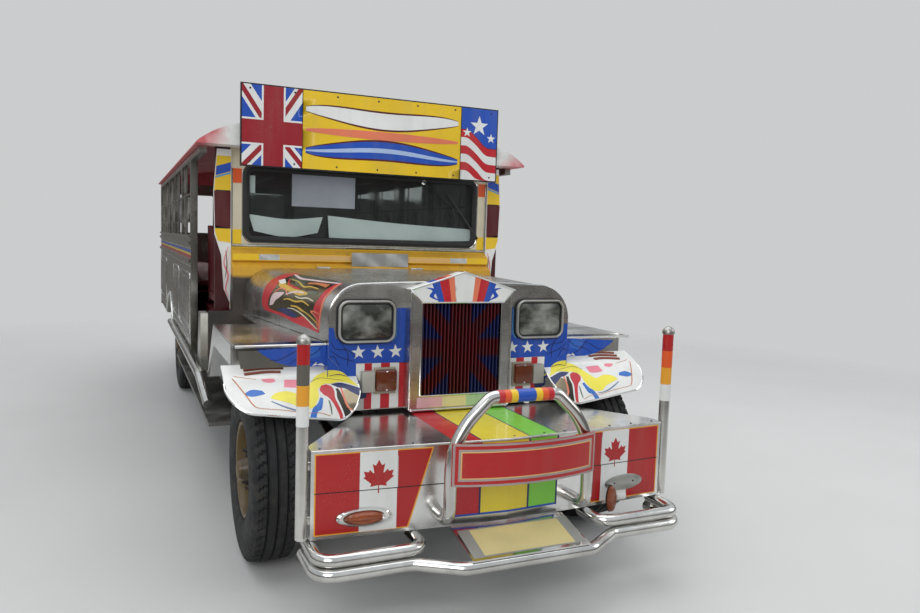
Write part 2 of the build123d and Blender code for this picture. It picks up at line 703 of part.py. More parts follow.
def roof():
    """A crowned shell from the visor to the tail, closed at both ends and with a drip lip."""
    (sx, sz), (hx, hz), (ex, ez) = ROOF_SHOULDER, ROOF_HAUNCH, ROOF_EDGE
    y, low = ROOF_FRONT, ROOF_SOFFIT
    outside = [
        Line((-ex, y, low), (-ex, y, ez)),
        ThreePointArc((-ex, y, ez), (-hx, y, hz), (-sx, y, sz)),
        ThreePointArc((-sx, y, sz), (0, y, ROOF_CROWN), (sx, y, sz)),
        ThreePointArc((sx, y, sz), (hx, y, hz), (ex, y, ez)),
        Line((ex, y, ez), (ex, y, low)),
        Line((ex, y, low), (-ex, y, low)),
    ]
    shell = extrude(make_face(outside), amount=BODY_REAR - ROOF_FRONT, dir=(0, 1, 0))
    y = ROOF_FRONT + ROOF_CAP
    ceiling, inset = sz - ROOF_THICKNESS, sx - ROOF_THICKNESS / 2
    inside = [
        Line((-BODY_INNER, y, SIDE_TOP), (-inset, y, ceiling)),
        ThreePointArc((-inset, y, ceiling), (0, y, ROOF_CROWN - ROOF_THICKNESS), (inset, y, ceiling)),
        Line((inset, y, ceiling), (BODY_INNER, y, SIDE_TOP)),
        Line((BODY_INNER, y, SIDE_TOP), (-BODY_INNER, y, SIDE_TOP)),
    ]
    shell -= extrude(make_face(inside), amount=FLOOR_REAR - y, dir=(0, 1, 0))
    seat = BODY_HALF + ROOF_PLAY
    shell -= block((-seat, seat), (COWL_REAR + PILLAR_DEPTH, BODY_REAR + 5), (low - 5, SIDE_TOP))
    for side in (1, -1):
        slot = sorted((side * (BODY_INNER - ROOF_PLAY), side * seat))
        shell -= block(slot, (COWL_REAR, BODY_REAR), (low - 5, SIDE_TOP))
    save("roof", [shell])
    return shell


def roof_height(x):
    """Height of the roof's outer face over a point of its crown."""
    half, drop = ROOF_SHOULDER[0], ROOF_CROWN - ROOF_SHOULDER[1]
    radius = (half * half + drop * drop) / (2 * drop)
    return ROOF_CROWN - radius + math.sqrt(radius * radius - x * x)


def sign_board():
    """The name board over the windscreen on two flat brackets."""
    back = ROOF_FRONT - SIGN_STANDOFF
    board = block((-SIGN_HALF, SIGN_HALF), (back - SIGN_THICKNESS, back), (SIGN_LOW, SIGN_HIGH))
    for side in (1, -1):
        x = sorted((side * 420, side * 450))
        board += block(x, (back, ROOF_FRONT), (ROOF_SOFFIT + 20, ROOF_SOFFIT + 140))
    save("sign_board", [board])


def window_bay(number):
    """The front and rear of one window, counted from the B-post."""
    rear = B_POST + (number + 1) * WINDOW_PITCH
    return rear - WINDOW_PITCH + WINDOW_POST, rear


def side_panels():
    """Each body side: sill, B-post, belt, window posts and cantrail, with the cab doorway open."""
    front, rear = COWL_REAR, FLOOR_REAR
    toe = COWL_REAR + 90
    outline = [
        (FIREWALL + COWL_SHEET, SILL_BOTTOM),
        (rear, SILL_BOTTOM),
        (rear, SIDE_TOP),
        (front, SIDE_TOP),
        (front, WINDOW_TOP),
        (B_POST, WINDOW_TOP),
        (B_POST, FLOOR_TOP + 30),
        (toe, FLOOR_TOP + 30),
        (toe - 60, FENDER_TOP),
        (FIREWALL + COWL_SHEET, FENDER_TOP),
    ]
    panel = side_prism(outline, (BODY_INNER, BODY_HALF))
    for number in range(WINDOW_COUNT):
        low, high = window_bay(number)
        panel -= block((BODY_INNER - 5, BODY_HALF + 5), (low, high), (WINDOW_SILL, WINDOW_TOP))
    for z, height in MOULDINGS:
        panel += block(
            (BODY_HALF, BODY_HALF + MOULDING_DEPTH),
            (B_POST, rear),
            (z - height / 2, min(z + height / 2, WINDOW_SILL)),
        )
    arch = Pos(BODY_HALF, REAR_AXLE, AXLE_Z) * Rot(0, 90, 0) * Cylinder(ARCH_RADIUS, 4 * WALL)
    save("side_panels", both(panel - arch))


def window_grilles():
    """A wrought lattice in each window: one ring between upright bars and a crossed pair of rails."""
    middle = BODY_INNER + WALL / 2
    x = (middle - 4, middle + 4)
    ring_z, ring, wide = RING_Z, RING_RADIUS, GRILLE_BAR
    solids = []
    for number in range(WINDOW_COUNT):
        front, rear = window_bay(number)
        centre = (front + rear) / 2
        across_window = Plane(origin=(x[0], centre, ring_z), x_dir=(0, 1, 0), z_dir=(1, 0, 0))
        hoop = RegularPolygon(ring, 16) - RegularPolygon(ring - wide, 16)
        lattice = extrude(across_window * hoop, amount=x[1] - x[0])
        for y in (front + wide / 2, centre - 190, centre + 190, rear - wide / 2):
            lattice += block(x, (y - wide / 2, y + wide / 2), (WINDOW_SILL, WINDOW_TOP))
        for z in (ring_z + ring - wide, ring_z - ring):
            lattice += block(x, (front, rear), (z, z + wide))
        solids += both(lattice)
    save("window_grilles", solids)


def rear_panel():
    """The tail wall with its open doorway, a window each side and the number plate's two holes."""
    y = (BODY_REAR - REAR_PANEL, BODY_REAR)
    wall = block((-BODY_HALF, BODY_HALF), y, (SILL_BOTTOM - 20, SIDE_TOP))
    wall -= block(
        (-DOORWAY_HALF, DOORWAY_HALF), (y[0] - 5, y[1] + 5), (SILL_BOTTOM - 30, WINDOW_TOP)
    )
    for side in (1, -1):
        x = sorted((side * REAR_WINDOW_X[0], side * REAR_WINDOW_X[1]))
        wall -= block(x, (y[0] - 5, y[1] + 5), (WINDOW_SILL, REAR_WINDOW_TOP))
    for sign in (1, -1):
        hole = Pos(PLATE_HOLE_X + sign * PLATE_HOLE_SPACING / 2, BODY_REAR, PLATE_HOLE_Z)
        wall -= hole * Rot(90, 0, 0) * Cylinder(PLATE_HOLE_RADIUS, 4 * REAR_PANEL)
    save("rear_panel", [wall])


def rear_step():
    """A foot step across the doorway, hung from the frame, and its tube bumper."""
    step = block((-420, 420), (BODY_REAR - 60, REAR_TIP), (STEP_Z, STEP_Z + 25))
    for side in (1, -1):
        x = sorted((side * RAIL_X, side * (RAIL_X + 40)))
        step += block(x, (FRAME_REAR - 60, BODY_REAR - 20), (STEP_Z, STEP_Z + 25))
        step += block(x, (FRAME_REAR - 60, FRAME_REAR - 30), (STEP_Z, FRAME_BOTTOM))
    save("rear_step", [step])


def tail_lamps():
    """A round-cornered red lamp low on each rear corner."""
    lamp = rounded_outline(110, 190, 30, BODY_REAR, BODY_HALF - 90, 780, 26)
    save("tail_lamps", both(lamp))


def hood_section(y, half, shoulder, inset, foot):
    """Half-barrel outline at one station: upright sides, round shoulders and a slightly crowned top."""
    side, flat, high = half - inset, shoulder - inset, HOOD_TOP - inset
    radius = half - shoulder
    middle, slope = high - radius, math.sqrt(0.5)
    bend = flat + radius * slope
    rise = middle + radius * slope
    edges = [
        Line((-side, y, foot), (-side, y, middle)),
        ThreePointArc((-side, y, middle), (-bend, y, rise), (-flat, y, high)),
        ThreePointArc((-flat, y, high), (0, y, high + 10), (flat, y, high)),
        ThreePointArc((flat, y, high), (bend, y, rise), (side, y, middle)),
        Line((side, y, middle), (side, y, foot)),
        Line((side, y, foot), (-side, y, foot)),
    ]
    return make_face(edges)


def hood():
    """The bonnet: a tapered half barrel of sheet with two hinge barrels on its rear edge."""
    foot = FENDER_TOP + HOOD_GAP
    front = (HOOD_FRONT, FASCIA_HALF - 9, FASCIA_SHOULDER)
    rear = (HOOD_REAR, HOOD_REAR_HALF, HOOD_REAR_SHOULDER)
    outside = loft([hood_section(*front, 0, foot), hood_section(*rear, 0, foot)], ruled=True)
    inside = loft(
        [hood_section(*front, HOOD_SHEET, foot - 1), hood_section(*rear, HOOD_SHEET, foot - 1)], ruled=True
    )
    shell = outside - inside
    for side in (1, -1):
        near, far = (side * x for x in HINGE_X)
        shell += bar((near, HINGE_Y, HINGE_Z), (far, HINGE_Y, HINGE_Z), HINGE_RADIUS)
    save("hood", [shell])


def fascia():
    """The nose panel: square foot, wide shoulders, headlamp holes and the opening for the grille."""
    y = FASCIA_Y
    half, low = FASCIA_HALF, FASCIA_LOW
    foot = FENDER_INNER - 10
    edges = [
        Line((-foot, y, low), (foot, y, low)),
        Line((foot, y, low), (foot, y, FENDER_SKIRT)),
        Line((foot, y, FENDER_SKIRT), (half, y, FENDER_SKIRT + 40)),
        Line((half, y, FENDER_SKIRT + 40), (half, y, 1060)),
        ThreePointArc((half, y, 1060), (540, y, 1160), (FASCIA_SHOULDER, y, HOOD_TOP)),
        Line((FASCIA_SHOULDER, y, HOOD_TOP), (-FASCIA_SHOULDER, y, HOOD_TOP)),
        ThreePointArc((-FASCIA_SHOULDER, y, HOOD_TOP), (-540, y, 1160), (-half, y, 1060)),
        Line((-half, y, 1060), (-half, y, FENDER_SKIRT + 40)),
        Line((-half, y, FENDER_SKIRT + 40), (-foot, y, FENDER_SKIRT)),
        Line((-foot, y, FENDER_SKIRT), (-foot, y, low)),
    ]
    panel = extrude(make_face(edges), amount=FASCIA_THICKNESS, dir=(0, 1, 0))
    panel -= block(
        (-GRILLE_HALF, GRILLE_HALF), (y - 5, y + FASCIA_THICKNESS + 5), (GRILLE_LOW, GRILLE_HIGH)
    )
    for side in (1, -1):
        panel -= rounded_outline(
            BEZEL_WIDTH - 30, BEZEL_HEIGHT - 30, 35, y - 5, side * LAMP_X, LAMP_Z, 60
        )
    save("fascia", [panel])


def radiator_shell():
    """A bright frame round the grille under a pitched cap."""
    y = (SHELL_Y, FASCIA_Y)
    shell = block((-SHELL_HALF, SHELL_HALF), y, (FASCIA_LOW, CAP_CORNER))
    shell -= block((-GRILLE_HALF, GRILLE_HALF), (y[0] - 5, y[1] + 5), (GRILLE_LOW, GRILLE_HIGH))
    half = SHELL_HALF + CAP_OVERHANG
    gable = [(-half, CAP_CORNER), (0, CAP_PEAK), (half, CAP_CORNER)]
    brow = gable + [(CAP_FOOT_HALF, GRILLE_HIGH), (-CAP_FOOT_HALF, GRILLE_HIGH)]
    front = front_prism(brow, (SHELL_Y - CAP_PROUD, SHELL_Y))
    ridge = front_prism(gable, (SHELL_Y, FASCIA_Y))
    save("radiator_shell", [shell + front + ridge])


def grille_slats():
    """Upright slats between two rails, with the radiator core behind them."""
    low, high = GRILLE_LOW + SEAT_GAP, GRILLE_HIGH - SEAT_GAP
    half = GRILLE_HALF - SEAT_GAP
    core = block((-half, half), (FASCIA_Y - 6, FASCIA_Y + 14), (low, high))
    pitch = 2 * half / SLAT_COUNT
    for number in range(SLAT_COUNT):
        x = -half + (number + 0.5) * pitch
        core += block(
            (x - SLAT_WIDTH / 2, x + SLAT_WIDTH / 2), (SHELL_Y + 10, FASCIA_Y - 6), (low, high)
        )
    save("grille_slats", [core])


def headlamps():
    """A rounded rectangular lamp on each side with its bright bezel and sunk lens."""
    solids = []
    for side in (1, -1):
        x = side * LAMP_X
        front = FASCIA_Y - BEZEL_PROUD
        lamp = rounded_outline(BEZEL_WIDTH, BEZEL_HEIGHT, 48, front, x, LAMP_Z, BEZEL_PROUD)
        lamp -= rounded_outline(BEZEL_WIDTH - 44, BEZEL_HEIGHT - 44, 30, front - 1, x, LAMP_Z, 15)
        lamp += rounded_outline(
            BEZEL_WIDTH - 32, BEZEL_HEIGHT - 32, 34, FASCIA_Y, x, LAMP_Z, FASCIA_THICKNESS + 30
        )
        solids.append(lamp)
    save("headlamps", solids)


def signal_lamps():
    """A square amber lamp beside a bright block under each headlamp."""
    lamp = block((285, 385), (FASCIA_Y - 48, FASCIA_Y), (742, 856))
    lamp += block((385, 443), (FASCIA_Y - 36, FASCIA_Y), (754, 846))
    save("signal_lamps", both(lamp))


def front_fenders():
    """Each front wing: a flat folded top, short skirts, a sloped tail and the inner apron."""
    t = FENDER_SHEET
    tail, foot = FENDER_BEND, FENDER_FOOT
    rear_z = SILL_BOTTOM + 20
    under = FENDER_TOP - t
    cheek = FASCIA_HALF + 2
    outer = [
        (FENDER_FRONT, FENDER_SKIRT),
        (FENDER_FRONT, FENDER_TOP),
        (tail, FENDER_TOP),
        (foot, rear_z),
        (foot - 14, rear_z),
        (tail - 6, FENDER_TOP - 110),
        (tail - 60, FENDER_SKIRT),
    ]
    hollow = [
        (FENDER_FRONT + t, FENDER_SKIRT - 30),
        (FENDER_FRONT + t, under),
        (tail - 5, under),
        (foot - 11, rear_z - 5),
        (foot - 60, rear_z - 60),
    ]
    wing = side_prism(outer, (cheek, FENDER_OUTER))
    wing -= side_prism(hollow, (FASCIA_HALF - 1, FENDER_OUTER - t))
    wing += block((FENDER_INNER, cheek), (FASCIA_REAR, FIREWALL), (under, FENDER_TOP))
    apron = [
        (FASCIA_REAR, 700),
        (FASCIA_REAR, FENDER_TOP),
        (FIREWALL, FENDER_TOP),
        (FIREWALL, FRAME_TOP + 20),
        (FRONT_AXLE + 480, FRAME_TOP + 20),
        (FRONT_AXLE + 330, 700),
    ]
    wing += side_prism(apron, (FENDER_INNER, FENDER_INNER + 6))
    shelf = [
        (cheek, tail),
        (FENDER_OUTER - 210, tail),
        (HOOD_REAR_HALF + 20, FIREWALL),
        (cheek, FIREWALL),
    ]
    save("front_fenders", both(wing + plan_prism(shelf, (under, FENDER_TOP))))


def fender_flares():
    """A drooping lip under each front wing: a bent sheet with large round corners in plan."""
    x, outer, t = FLARE_INNER, FLARE_OUTER, FLARE_SHEET
    top = (FENDER_FRONT, FENDER_SKIRT + 4)
    middle = (FRONT_AXLE - 262, 800)
    lip = FLARE_LIP
    upper = ThreePointArc((x, *top), (x, *middle), (x, *lip))
    lower = ThreePointArc(
        (x, lip[0], lip[1] - t), (x, middle[0] + 2, middle[1] - t), (x, top[0], top[1] - t)
    )
    edges = [upper, Line(upper @ 1, lower @ 0), lower, Line(lower @ 1, upper @ 0)]
    sheet = extrude(make_face(edges), amount=outer - x + 10, dir=(1, 0, 0))
    plan = FilletPolyline(
        (x, FENDER_FRONT, 0),
        (x, lip[0] - 6, 0),
        (outer, lip[0] + 40, 0),
        (outer, FENDER_FRONT, 0),
        radius=FLARE_CORNER,
        close=False,
    )
    trim = extrude(make_face([plan, Line(plan @ 1, plan @ 0)]), amount=FENDER_TOP)
    nose = block((x - 5, FASCIA_HALF + 2), (FASCIA_Y, FENDER_FRONT + 5), (0, FENDER_TOP))
    save("fender_flares", both((sheet & trim) - nose))


def valance_y(x):
    """Station of the valance's front face at one width, which is a shallow V in plan."""
    return BUMPER_TIP + abs(x) * BUMPER_SLOPE


def bumper_box():
    """The valance: a shallow V of plate in front and the deck that runs back to the grille."""
    t = VALANCE_SHEET
    face = plan_prism(
        [
            (0, BUMPER_TIP),
            (BUMPER_HALF, BUMPER_END),
            (BUMPER_HALF, BUMPER_RETURN),
            (BUMPER_HALF - t, BUMPER_RETURN),
            (BUMPER_HALF - t, BUMPER_END + t),
            (0, BUMPER_TIP + t),
        ],
        (BUMPER_LOW, DECK_Z - DECK_SHEET),
    )
    deck = plan_prism(
        [
            (0, BUMPER_TIP),
            (BUMPER_HALF, BUMPER_END),
            (BUMPER_HALF, BUMPER_RETURN),
            (470, FASCIA_Y - 8),
            (0, FASCIA_Y - 8),
        ],
        (DECK_Z - DECK_SHEET, DECK_Z),
    )
    stay = block((RAIL_X, RAIL_OUTER), (BUMPER_TIP + 30, FRAME_FRONT), (FRAME_BOTTOM, FRAME_TOP))
    half = face + deck + stay
    save("bumper_box", [half + mirror(half, about=Plane.YZ)])


def bumper_tubes():
    """The low tube across the front, jogged forward at the plate, and a loop under each end."""
    low, half = LOWER_TUBE_Z, BUMPER_HALF + 6
    y = FRONT_AXLE - 870
    right = [(half, BUMPER_END + 70, low), (half, y, low), (430, y, low), (265, GUARD_FRONT, low)]
    left = [(-px, py, pz) for px, py, pz in reversed(right)]
    tube = bent_tube(right + left, 70, GUARD_RADIUS)
    loop_z = BUMPER_LOW - GUARD_RADIUS - 1
    for side in (1, -1):
        outer = side * (half - 8)
        tube += bent_tube(
            [
                (side * 380, BUMPER_END + 10, loop_z),
                (side * 380, y + 10, loop_z),
                (outer, y + 10, loop_z),
                (outer, BUMPER_END + 50, loop_z),
            ],
            60,
            GUARD_RADIUS,
        )
        stay_x = sorted((side * (half - 22), side * (half - 2)))
        tube += block(stay_x, (BUMPER_END + 20, BUMPER_RETURN), (low, BUMPER_LOW))
    save("bumper_tubes", [tube])


def guard_hoop():
    """The arched bar over the bumper, its legs turned back onto the valance."""
    leg = HOOP_LEG
    foot_y = BUMPER_TIP + 60
    right = [
        (leg, foot_y, HOOP_FOOT),
        (leg, GUARD_Y, HOOP_FOOT),
        (leg, GUARD_Y, 700),
        (140, GUARD_Y, HOOP_TOP),
    ]
    left = [(-px, py, pz) for px, py, pz in reversed(right)]
    hoop = bent_tube(right + left, 55, GUARD_RADIUS)
    wide = leg + 2 * GUARD_RADIUS
    behind = plan_prism(
        [
            (-wide, valance_y(wide) - SEAT_GAP),
            (0, BUMPER_TIP - SEAT_GAP),
            (wide, valance_y(wide) - SEAT_GAP),
            (wide, foot_y + 10),
            (-wide, foot_y + 10),
        ],
        (HOOP_FOOT - wide, HOOP_FOOT + wide),
    )
    save("guard_hoop", [hoop - behind])


def name_board():
    """A curved plate bolted to the front of the hoop's legs, bulging forward between them."""
    half, bulge, t = BOARD_HALF, BOARD_BULGE, BOARD_SHEET
    radius = (half * half + bulge * bulge) / (2 * bulge)
    lean = math.asin(HOOP_LEG / (radius - GUARD_RADIUS))
    seat = GUARD_RADIUS * math.cos(2 * math.pi / BAR_SIDES - lean)  # the leg's corner nearest the board
    reach = radius - seat - SEAT_GAP
    chord = GUARD_Y + math.sqrt(reach * reach - HOOP_LEG * HOOP_LEG) + bulge - radius
    low, high = BOARD_LOW, BOARD_HIGH
    back = ThreePointArc((-half, chord, low), (0, chord - bulge, low), (half, chord, low))
    front = ThreePointArc((half, chord - t, low), (0, chord - bulge - t, low), (-half, chord - t, low))
    face = make_face([back, Line(back @ 1, front @ 0), front, Line(front @ 1, back @ 0)])
    save("name_board", [extrude(face, amount=high - low, dir=(0, 0, 1))])


def plate_bracket():
    """A sloped tray for the front number plate between the valance and the low tube."""
    top = (BUMPER_TIP - 1, BUMPER_LOW + 5)
    low = (GUARD_FRONT, LOWER_TUBE_Z + GUARD_RADIUS + SEAT_GAP)
    outline = [top, (top[0], top[1] - 6), low, (low[0] - 14, low[1]), (low[0] - 14, low[1] + 6)]
    save("plate_bracket", [side_prism(outline, (-244, 244))])


def marker_posts():
    """A round post with a domed cap beside each end of the bumper, held by two straps."""
    x = BUMPER_HALF + POST_RADIUS + 8
    cap = POST_RADIUS + 3
    brim = POST_TOP + 10
    post = bar((x, POST_Y, BUMPER_LOW + 3), (x, POST_Y, POST_TOP), POST_RADIUS)
    post += bar((x, POST_Y, POST_TOP), (x, POST_Y, brim), cap)
    wide = Plane(origin=(x, POST_Y, brim)) * RegularPolygon(cap, BAR_SIDES)
    narrow = Plane(origin=(x, POST_Y, brim + 22)) * RegularPolygon(8, BAR_SIDES)
    post += loft([wide, narrow], ruled=True)
    for z in (400, 600):
        post += block((BUMPER_HALF, x), (POST_Y - 8, POST_Y + 8), (z - 15, z + 15))
    save("marker_posts", both(post))


def bumper_lamps():
    """Oval repeaters low on the valance: the right one seated, the left one hanging by its tail."""
    x, z = 572, 403
    y = valance_y(x)
    plate = Plane(origin=(-x, y, z), x_dir=(1, -BUMPER_SLOPE, 0), z_dir=(-BUMPER_SLOPE, -1, 0))
    right = extrude(plate * oval(105, 36), amount=16) + extrude(plate * oval(70, 22), amount=30)
    plate = Plane(origin=(x, y, z + 10), x_dir=(1, BUMPER_SLOPE, 0), z_dir=(BUMPER_SLOPE, -1, 0))
    left = extrude(plate * oval(100, 34), amount=5)
    left += block((470, 490), (y - 60, y - 9), (z - 6, z + 6))
    left += Pos(480, y - 50, z - 40) * Box(44, 26, 110)
    save("bumper_lamps", [right, left])


def running_boards():
    """A folded step under each side, on two arms from the rail."""
    front, rear = FRONT_AXLE + 830, REAR_AXLE - 560
    low = STEP_Z - STEP_SHEET
    board = block((745, 950), (front, rear), (low, STEP_Z))
    for y in (front + 420, rear - 300):
        board += block((RAIL_OUTER, 760), (y - 20, y + 20), (low, low + 12))
        board += block((RAIL_OUTER, RAIL_OUTER + 12), (y - 20, y + 20), (low, FRAME_TOP - 20))
    save("running_boards", both(board))


def sill_tubes():
    """A bright tube along each sill, swept down at its front end."""
    x = BODY_HALF + SILL_TUBE_RADIUS + SEAT_GAP
    z = SILL_BOTTOM + 16
    route = [
        (x - 14, FRONT_AXLE + 560, 560),
        (x, FRONT_AXLE + 860, z),
        (x, REAR_AXLE - ARCH_RADIUS - 20, z),
    ]
    save("sill_tubes", both(bent_tube(route, 300, SILL_TUBE_RADIUS)))


def seat_boxes():
    """Sheet boxes under the two long benches and the cab seats, open behind their fronts."""
    t = SEAT_SHEET
    y = (BENCH_FRONT, BENCH_REAR)
    bench = block((BENCH_FACE, BENCH_FACE + t), y, (FLOOR_TOP, BENCH_TOP - t))
    bench += block((BENCH_FACE, BODY_INNER), y, (BENCH_TOP - t, BENCH_TOP))
    x, y = CAB_SEAT_X, CAB_SEAT
    seat = block(x, y, (FLOOR_TOP, CAB_SEAT_TOP))
    seat -= block((x[0] + t, x[1] - t), (y[0] + t, y[1] - t), (FLOOR_TOP - 1, CAB_SEAT_TOP - t))
    save("seat_boxes", both(bench) + both(seat))


def seat_cushions():
    """Cushions and backs of the benches and the cab seats."""
    low = BENCH_TOP + SEAT_GAP
    y = (BENCH_FRONT + 10, BENCH_REAR - 10)
    back_x = (BODY_INNER - 48, BODY_INNER - SEAT_GAP)
    solids = both(block((BENCH_FACE - 20, back_x[0] - 2), y, (low, BENCH_TOP + CUSHION)))
    solids += both(block(back_x, y, (low, BENCH_TOP + 370)))
    low = CAB_SEAT_TOP + SEAT_GAP
    x = (CAB_SEAT_X[0] + 10, CAB_SEAT_X[1] - 10)
    front, rear = CAB_SEAT
    solids += both(block(x, (front + 10, rear - 10), (low, low + CUSHION + 10)))
    back = [(rear - 8, low), (rear + 50, low), (rear + 110, low + 520), (rear + 60, low + 520)]
    solids += both(side_prism(back, x))
    save("seat_cushions", solids)


def dashboard():
    """The instrument shelf under the windscreen."""
    front = COWL_REAR + PILLAR_DEPTH
    rear = front + 150
    outline = [
        (front, 1060),
        (front, LEDGE_HIGH),
        (rear - 60, LEDGE_HIGH),
        (rear, LEDGE_HIGH - 70),
        (rear - 20, 1110),
        (rear - 60, 1060),
    ]
    half = FRAME_HALF - COWL_SHEET
    shelf = side_prism(outline, (-half, half))
    save("dashboard", [shelf - bar(COLUMN_FOOT, WHEEL_CENTRE, COLUMN_RADIUS + SEAT_GAP)])


def steering_column():
    """The column jacket from the steering box up to the wheel, and the wheel on its stub."""
    foot, head = Vector(*COLUMN_FOOT), Vector(*WHEEL_CENTRE)
    way = (head - foot).normalized()
    hub = 50
    jacket = bar(tuple(foot), tuple(head - way * (hub - SEAT_GAP - 0.2)), COLUMN_RADIUS)
    gearcase = block(
        (RAIL_X, RAIL_X + 80), (COLUMN_FOOT[1] - 70, COLUMN_FOOT[1] + 50), (FRAME_TOP, FRAME_TOP + 90)
    )
    save("steering_column", [jacket + gearcase])
    plane = Plane(origin=WHEEL_CENTRE, x_dir=(1, 0, 0), z_dir=way)
    turns = [math.pi * number / 3 for number in range(6)]
    grip = [(13 * math.cos(t), STEERING_WHEEL_RADIUS + 13 * math.sin(t)) for t in turns]
    wheel = plane * Rot(0, -90, 0) * turned(grip, WHEEL_SIDES)
    wheel += bar(tuple(head - way * (hub - 1)), tuple(head + way), 34)
    spoke = Box(STEERING_WHEEL_RADIUS, 24, 8)
    for turn in (90, 210, 330):
        wheel += plane * Rot(0, 0, turn) * Pos(STEERING_WHEEL_RADIUS / 2, 0, -6) * spoke
    save("steering_wheel", [wheel])


def grab_rails(roof_shell):
    """Two ceiling rails along the aisle on hangers from the roof."""
    x, z = GRAB_RAIL_X, RAIL_HEIGHT
    front, rear = BENCH_FRONT, BENCH_REAR - 100
    rail = bar((x, front, z), (x, rear, z), GRAB_RAIL_RADIUS)
    step = (rear - front - 200) / (GRAB_HANGERS - 1)
    for number in range(GRAB_HANGERS):
        y = front + 100 + number * step
        rail += block((x - 8, x + 8), (y - 8, y + 8), (z, roof_height(x) - ROOF_THICKNESS / 2))
    save("grab_rails", both(rail - roof_shell))


def main():
    """Writes every piece."""
    os.makedirs("parts", exist_ok=True)
    frame_rails()
    crossmembers()
    front_axle_beam()
    steering()
    rear_axle()
    driveline()
    leaf_springs()
    tank_and_exhaust()
    for name, side, y in (
        ("front_left", 1, FRONT_AXLE),
        ("front_right", -1, FRONT_AXLE),
        ("rear_left", 1, REAR_AXLE),
        ("rear_right", -1, REAR_AXLE),
    ):
        save(f"tyre_{name}", [wheel_at(tyre(), side, y)])
        save(f"rim_{name}", [wheel_at(rim(SPINDLE_RADIUS + SPINDLE_CLEARANCE), side, y)])
    floor_pan()
    cowl()
    windscreen()
    pillar_wings()
    grab_rails(roof())
    sign_board()
    side_panels()
    window_grilles()
    rear_panel()
    rear_step()
    tail_lamps()
    hood()
    fascia()
    radiator_shell()
    grille_slats()
    headlamps()
    signal_lamps()
    front_fenders()
    fender_flares()
    bumper_box()
    bumper_tubes()
    guard_hoop()
    name_board()
    plate_bracket()
    marker_posts()
    bumper_lamps()
    running_boards()
    sill_tubes()
    seat_boxes()
    seat_cushions()
    dashboard()
    steering_column()


main()
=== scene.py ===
"""Looks of a long-wheelbase jeepney: stainless sheet, sign painter's enamel, glass, rubber and vinyl.

Metres, +Z up, the nose faces -Y and +X is the vehicle's left. Every new piece is a surface worked out
with numpy from the packed frame's boxes and the sizes below.
"""

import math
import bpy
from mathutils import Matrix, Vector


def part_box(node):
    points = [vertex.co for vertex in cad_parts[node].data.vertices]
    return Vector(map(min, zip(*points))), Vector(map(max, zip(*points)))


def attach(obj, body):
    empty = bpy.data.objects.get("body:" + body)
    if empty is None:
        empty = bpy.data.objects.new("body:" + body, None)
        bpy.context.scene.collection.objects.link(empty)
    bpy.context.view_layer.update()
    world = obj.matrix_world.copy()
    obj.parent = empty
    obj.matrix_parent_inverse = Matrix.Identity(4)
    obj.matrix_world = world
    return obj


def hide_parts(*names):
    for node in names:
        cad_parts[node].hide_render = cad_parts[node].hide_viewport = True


bl_info = {
    "name": "Jeepney dress",
    "version": (1, 0, 0),
    "blender": (4, 5, 0),
    "location": "View3D > Sidebar > Jeepney",
    "description": "Paint, trim, glass, tyres and seats of a passenger jeepney",
    "category": "Object",
}

import bmesh
import bpy
import numpy as np
from bpy.props import FloatProperty, FloatVectorProperty, IntProperty, PointerProperty
from mathutils import Matrix, Vector

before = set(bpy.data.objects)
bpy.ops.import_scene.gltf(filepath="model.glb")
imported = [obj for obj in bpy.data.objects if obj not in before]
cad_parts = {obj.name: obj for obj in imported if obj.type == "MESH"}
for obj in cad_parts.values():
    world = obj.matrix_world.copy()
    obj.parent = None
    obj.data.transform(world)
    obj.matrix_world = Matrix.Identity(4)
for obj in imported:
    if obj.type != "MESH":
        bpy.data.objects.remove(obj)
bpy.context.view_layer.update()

LEFT, RIGHT = 1, -1
SIDES = ((LEFT, "left"), (RIGHT, "right"))
UP, BACK, OUT, FORWARD = (0, 0, 1), (0, 1, 0), (1, 0, 0), (0, -1, 0)


def low(node):
    """Lowest corner of a packed node."""
    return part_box(node)[0]


def high(node):
    """Highest corner of a packed node."""
    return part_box(node)[1]


# Stations and heights read from the frame
AXLE_FRONT = (low("tyre_front_left").y + high("tyre_front_left").y) / 2
AXLE_REAR = (low("tyre_rear_left").y + high("tyre_rear_left").y) / 2
AXLE_HEIGHT = (low("tyre_front_left").z + high("tyre_front_left").z) / 2
WHEEL_X = (low("tyre_front_left").x + high("tyre_front_left").x) / 2
TYRE_OUTER = high("tyre_front_left").z - AXLE_HEIGHT
TYRE_HALF = (high("tyre_front_left").x - low("tyre_front_left").x) / 2
FASCIA_Y = low("fascia").y
SHELL_Y = FASCIA_Y - 0.062
SIGN_Y = low("sign_board").y
SCREEN_Y = low("windscreen_frame").y
WING_Y = low("pillar_wings").y
FENDER_Y = low("front_fenders").y
BODY_X = 0.970
REAR_Y = high("rear_panel").y
DECK_Z = high("bumper_box").z
TIP_Y = low("bumper_box").y
END_HALF = high("bumper_box").x
BUMPER_SLOPE = 0.053 / END_HALF
HOOP_Y = AXLE_FRONT - 0.872
TUBE = 0.024
NOSE_HALF = 0.585
WING_TOP, WING_OUT = 0.9565, 0.9575
HOOP_X, HOOP_TOP = 0.292, 0.846
SCREEN_FRAME_HALF = 0.795
RAIL_X = 0.360
ARCH_RADIUS = 0.460

# Paint layers above the sheet they lie on
GROUND, SECOND, THIRD, FOURTH = 0.0005, 0.0009, 0.0013, 0.0017
SUNK = 0.0004


def valance_y(x):
    """Station of the bumper's front face, a shallow V."""
    return TIP_Y + np.abs(x) * BUMPER_SLOPE


def srgb(red, green, blue):
    """A paint chip's 0-255 values as linear light."""
    chip = np.array([red, green, blue]) / 255
    return tuple(np.where(chip <= 0.04045, chip / 12.92, ((chip + 0.055) / 1.055) ** 2.4).tolist())


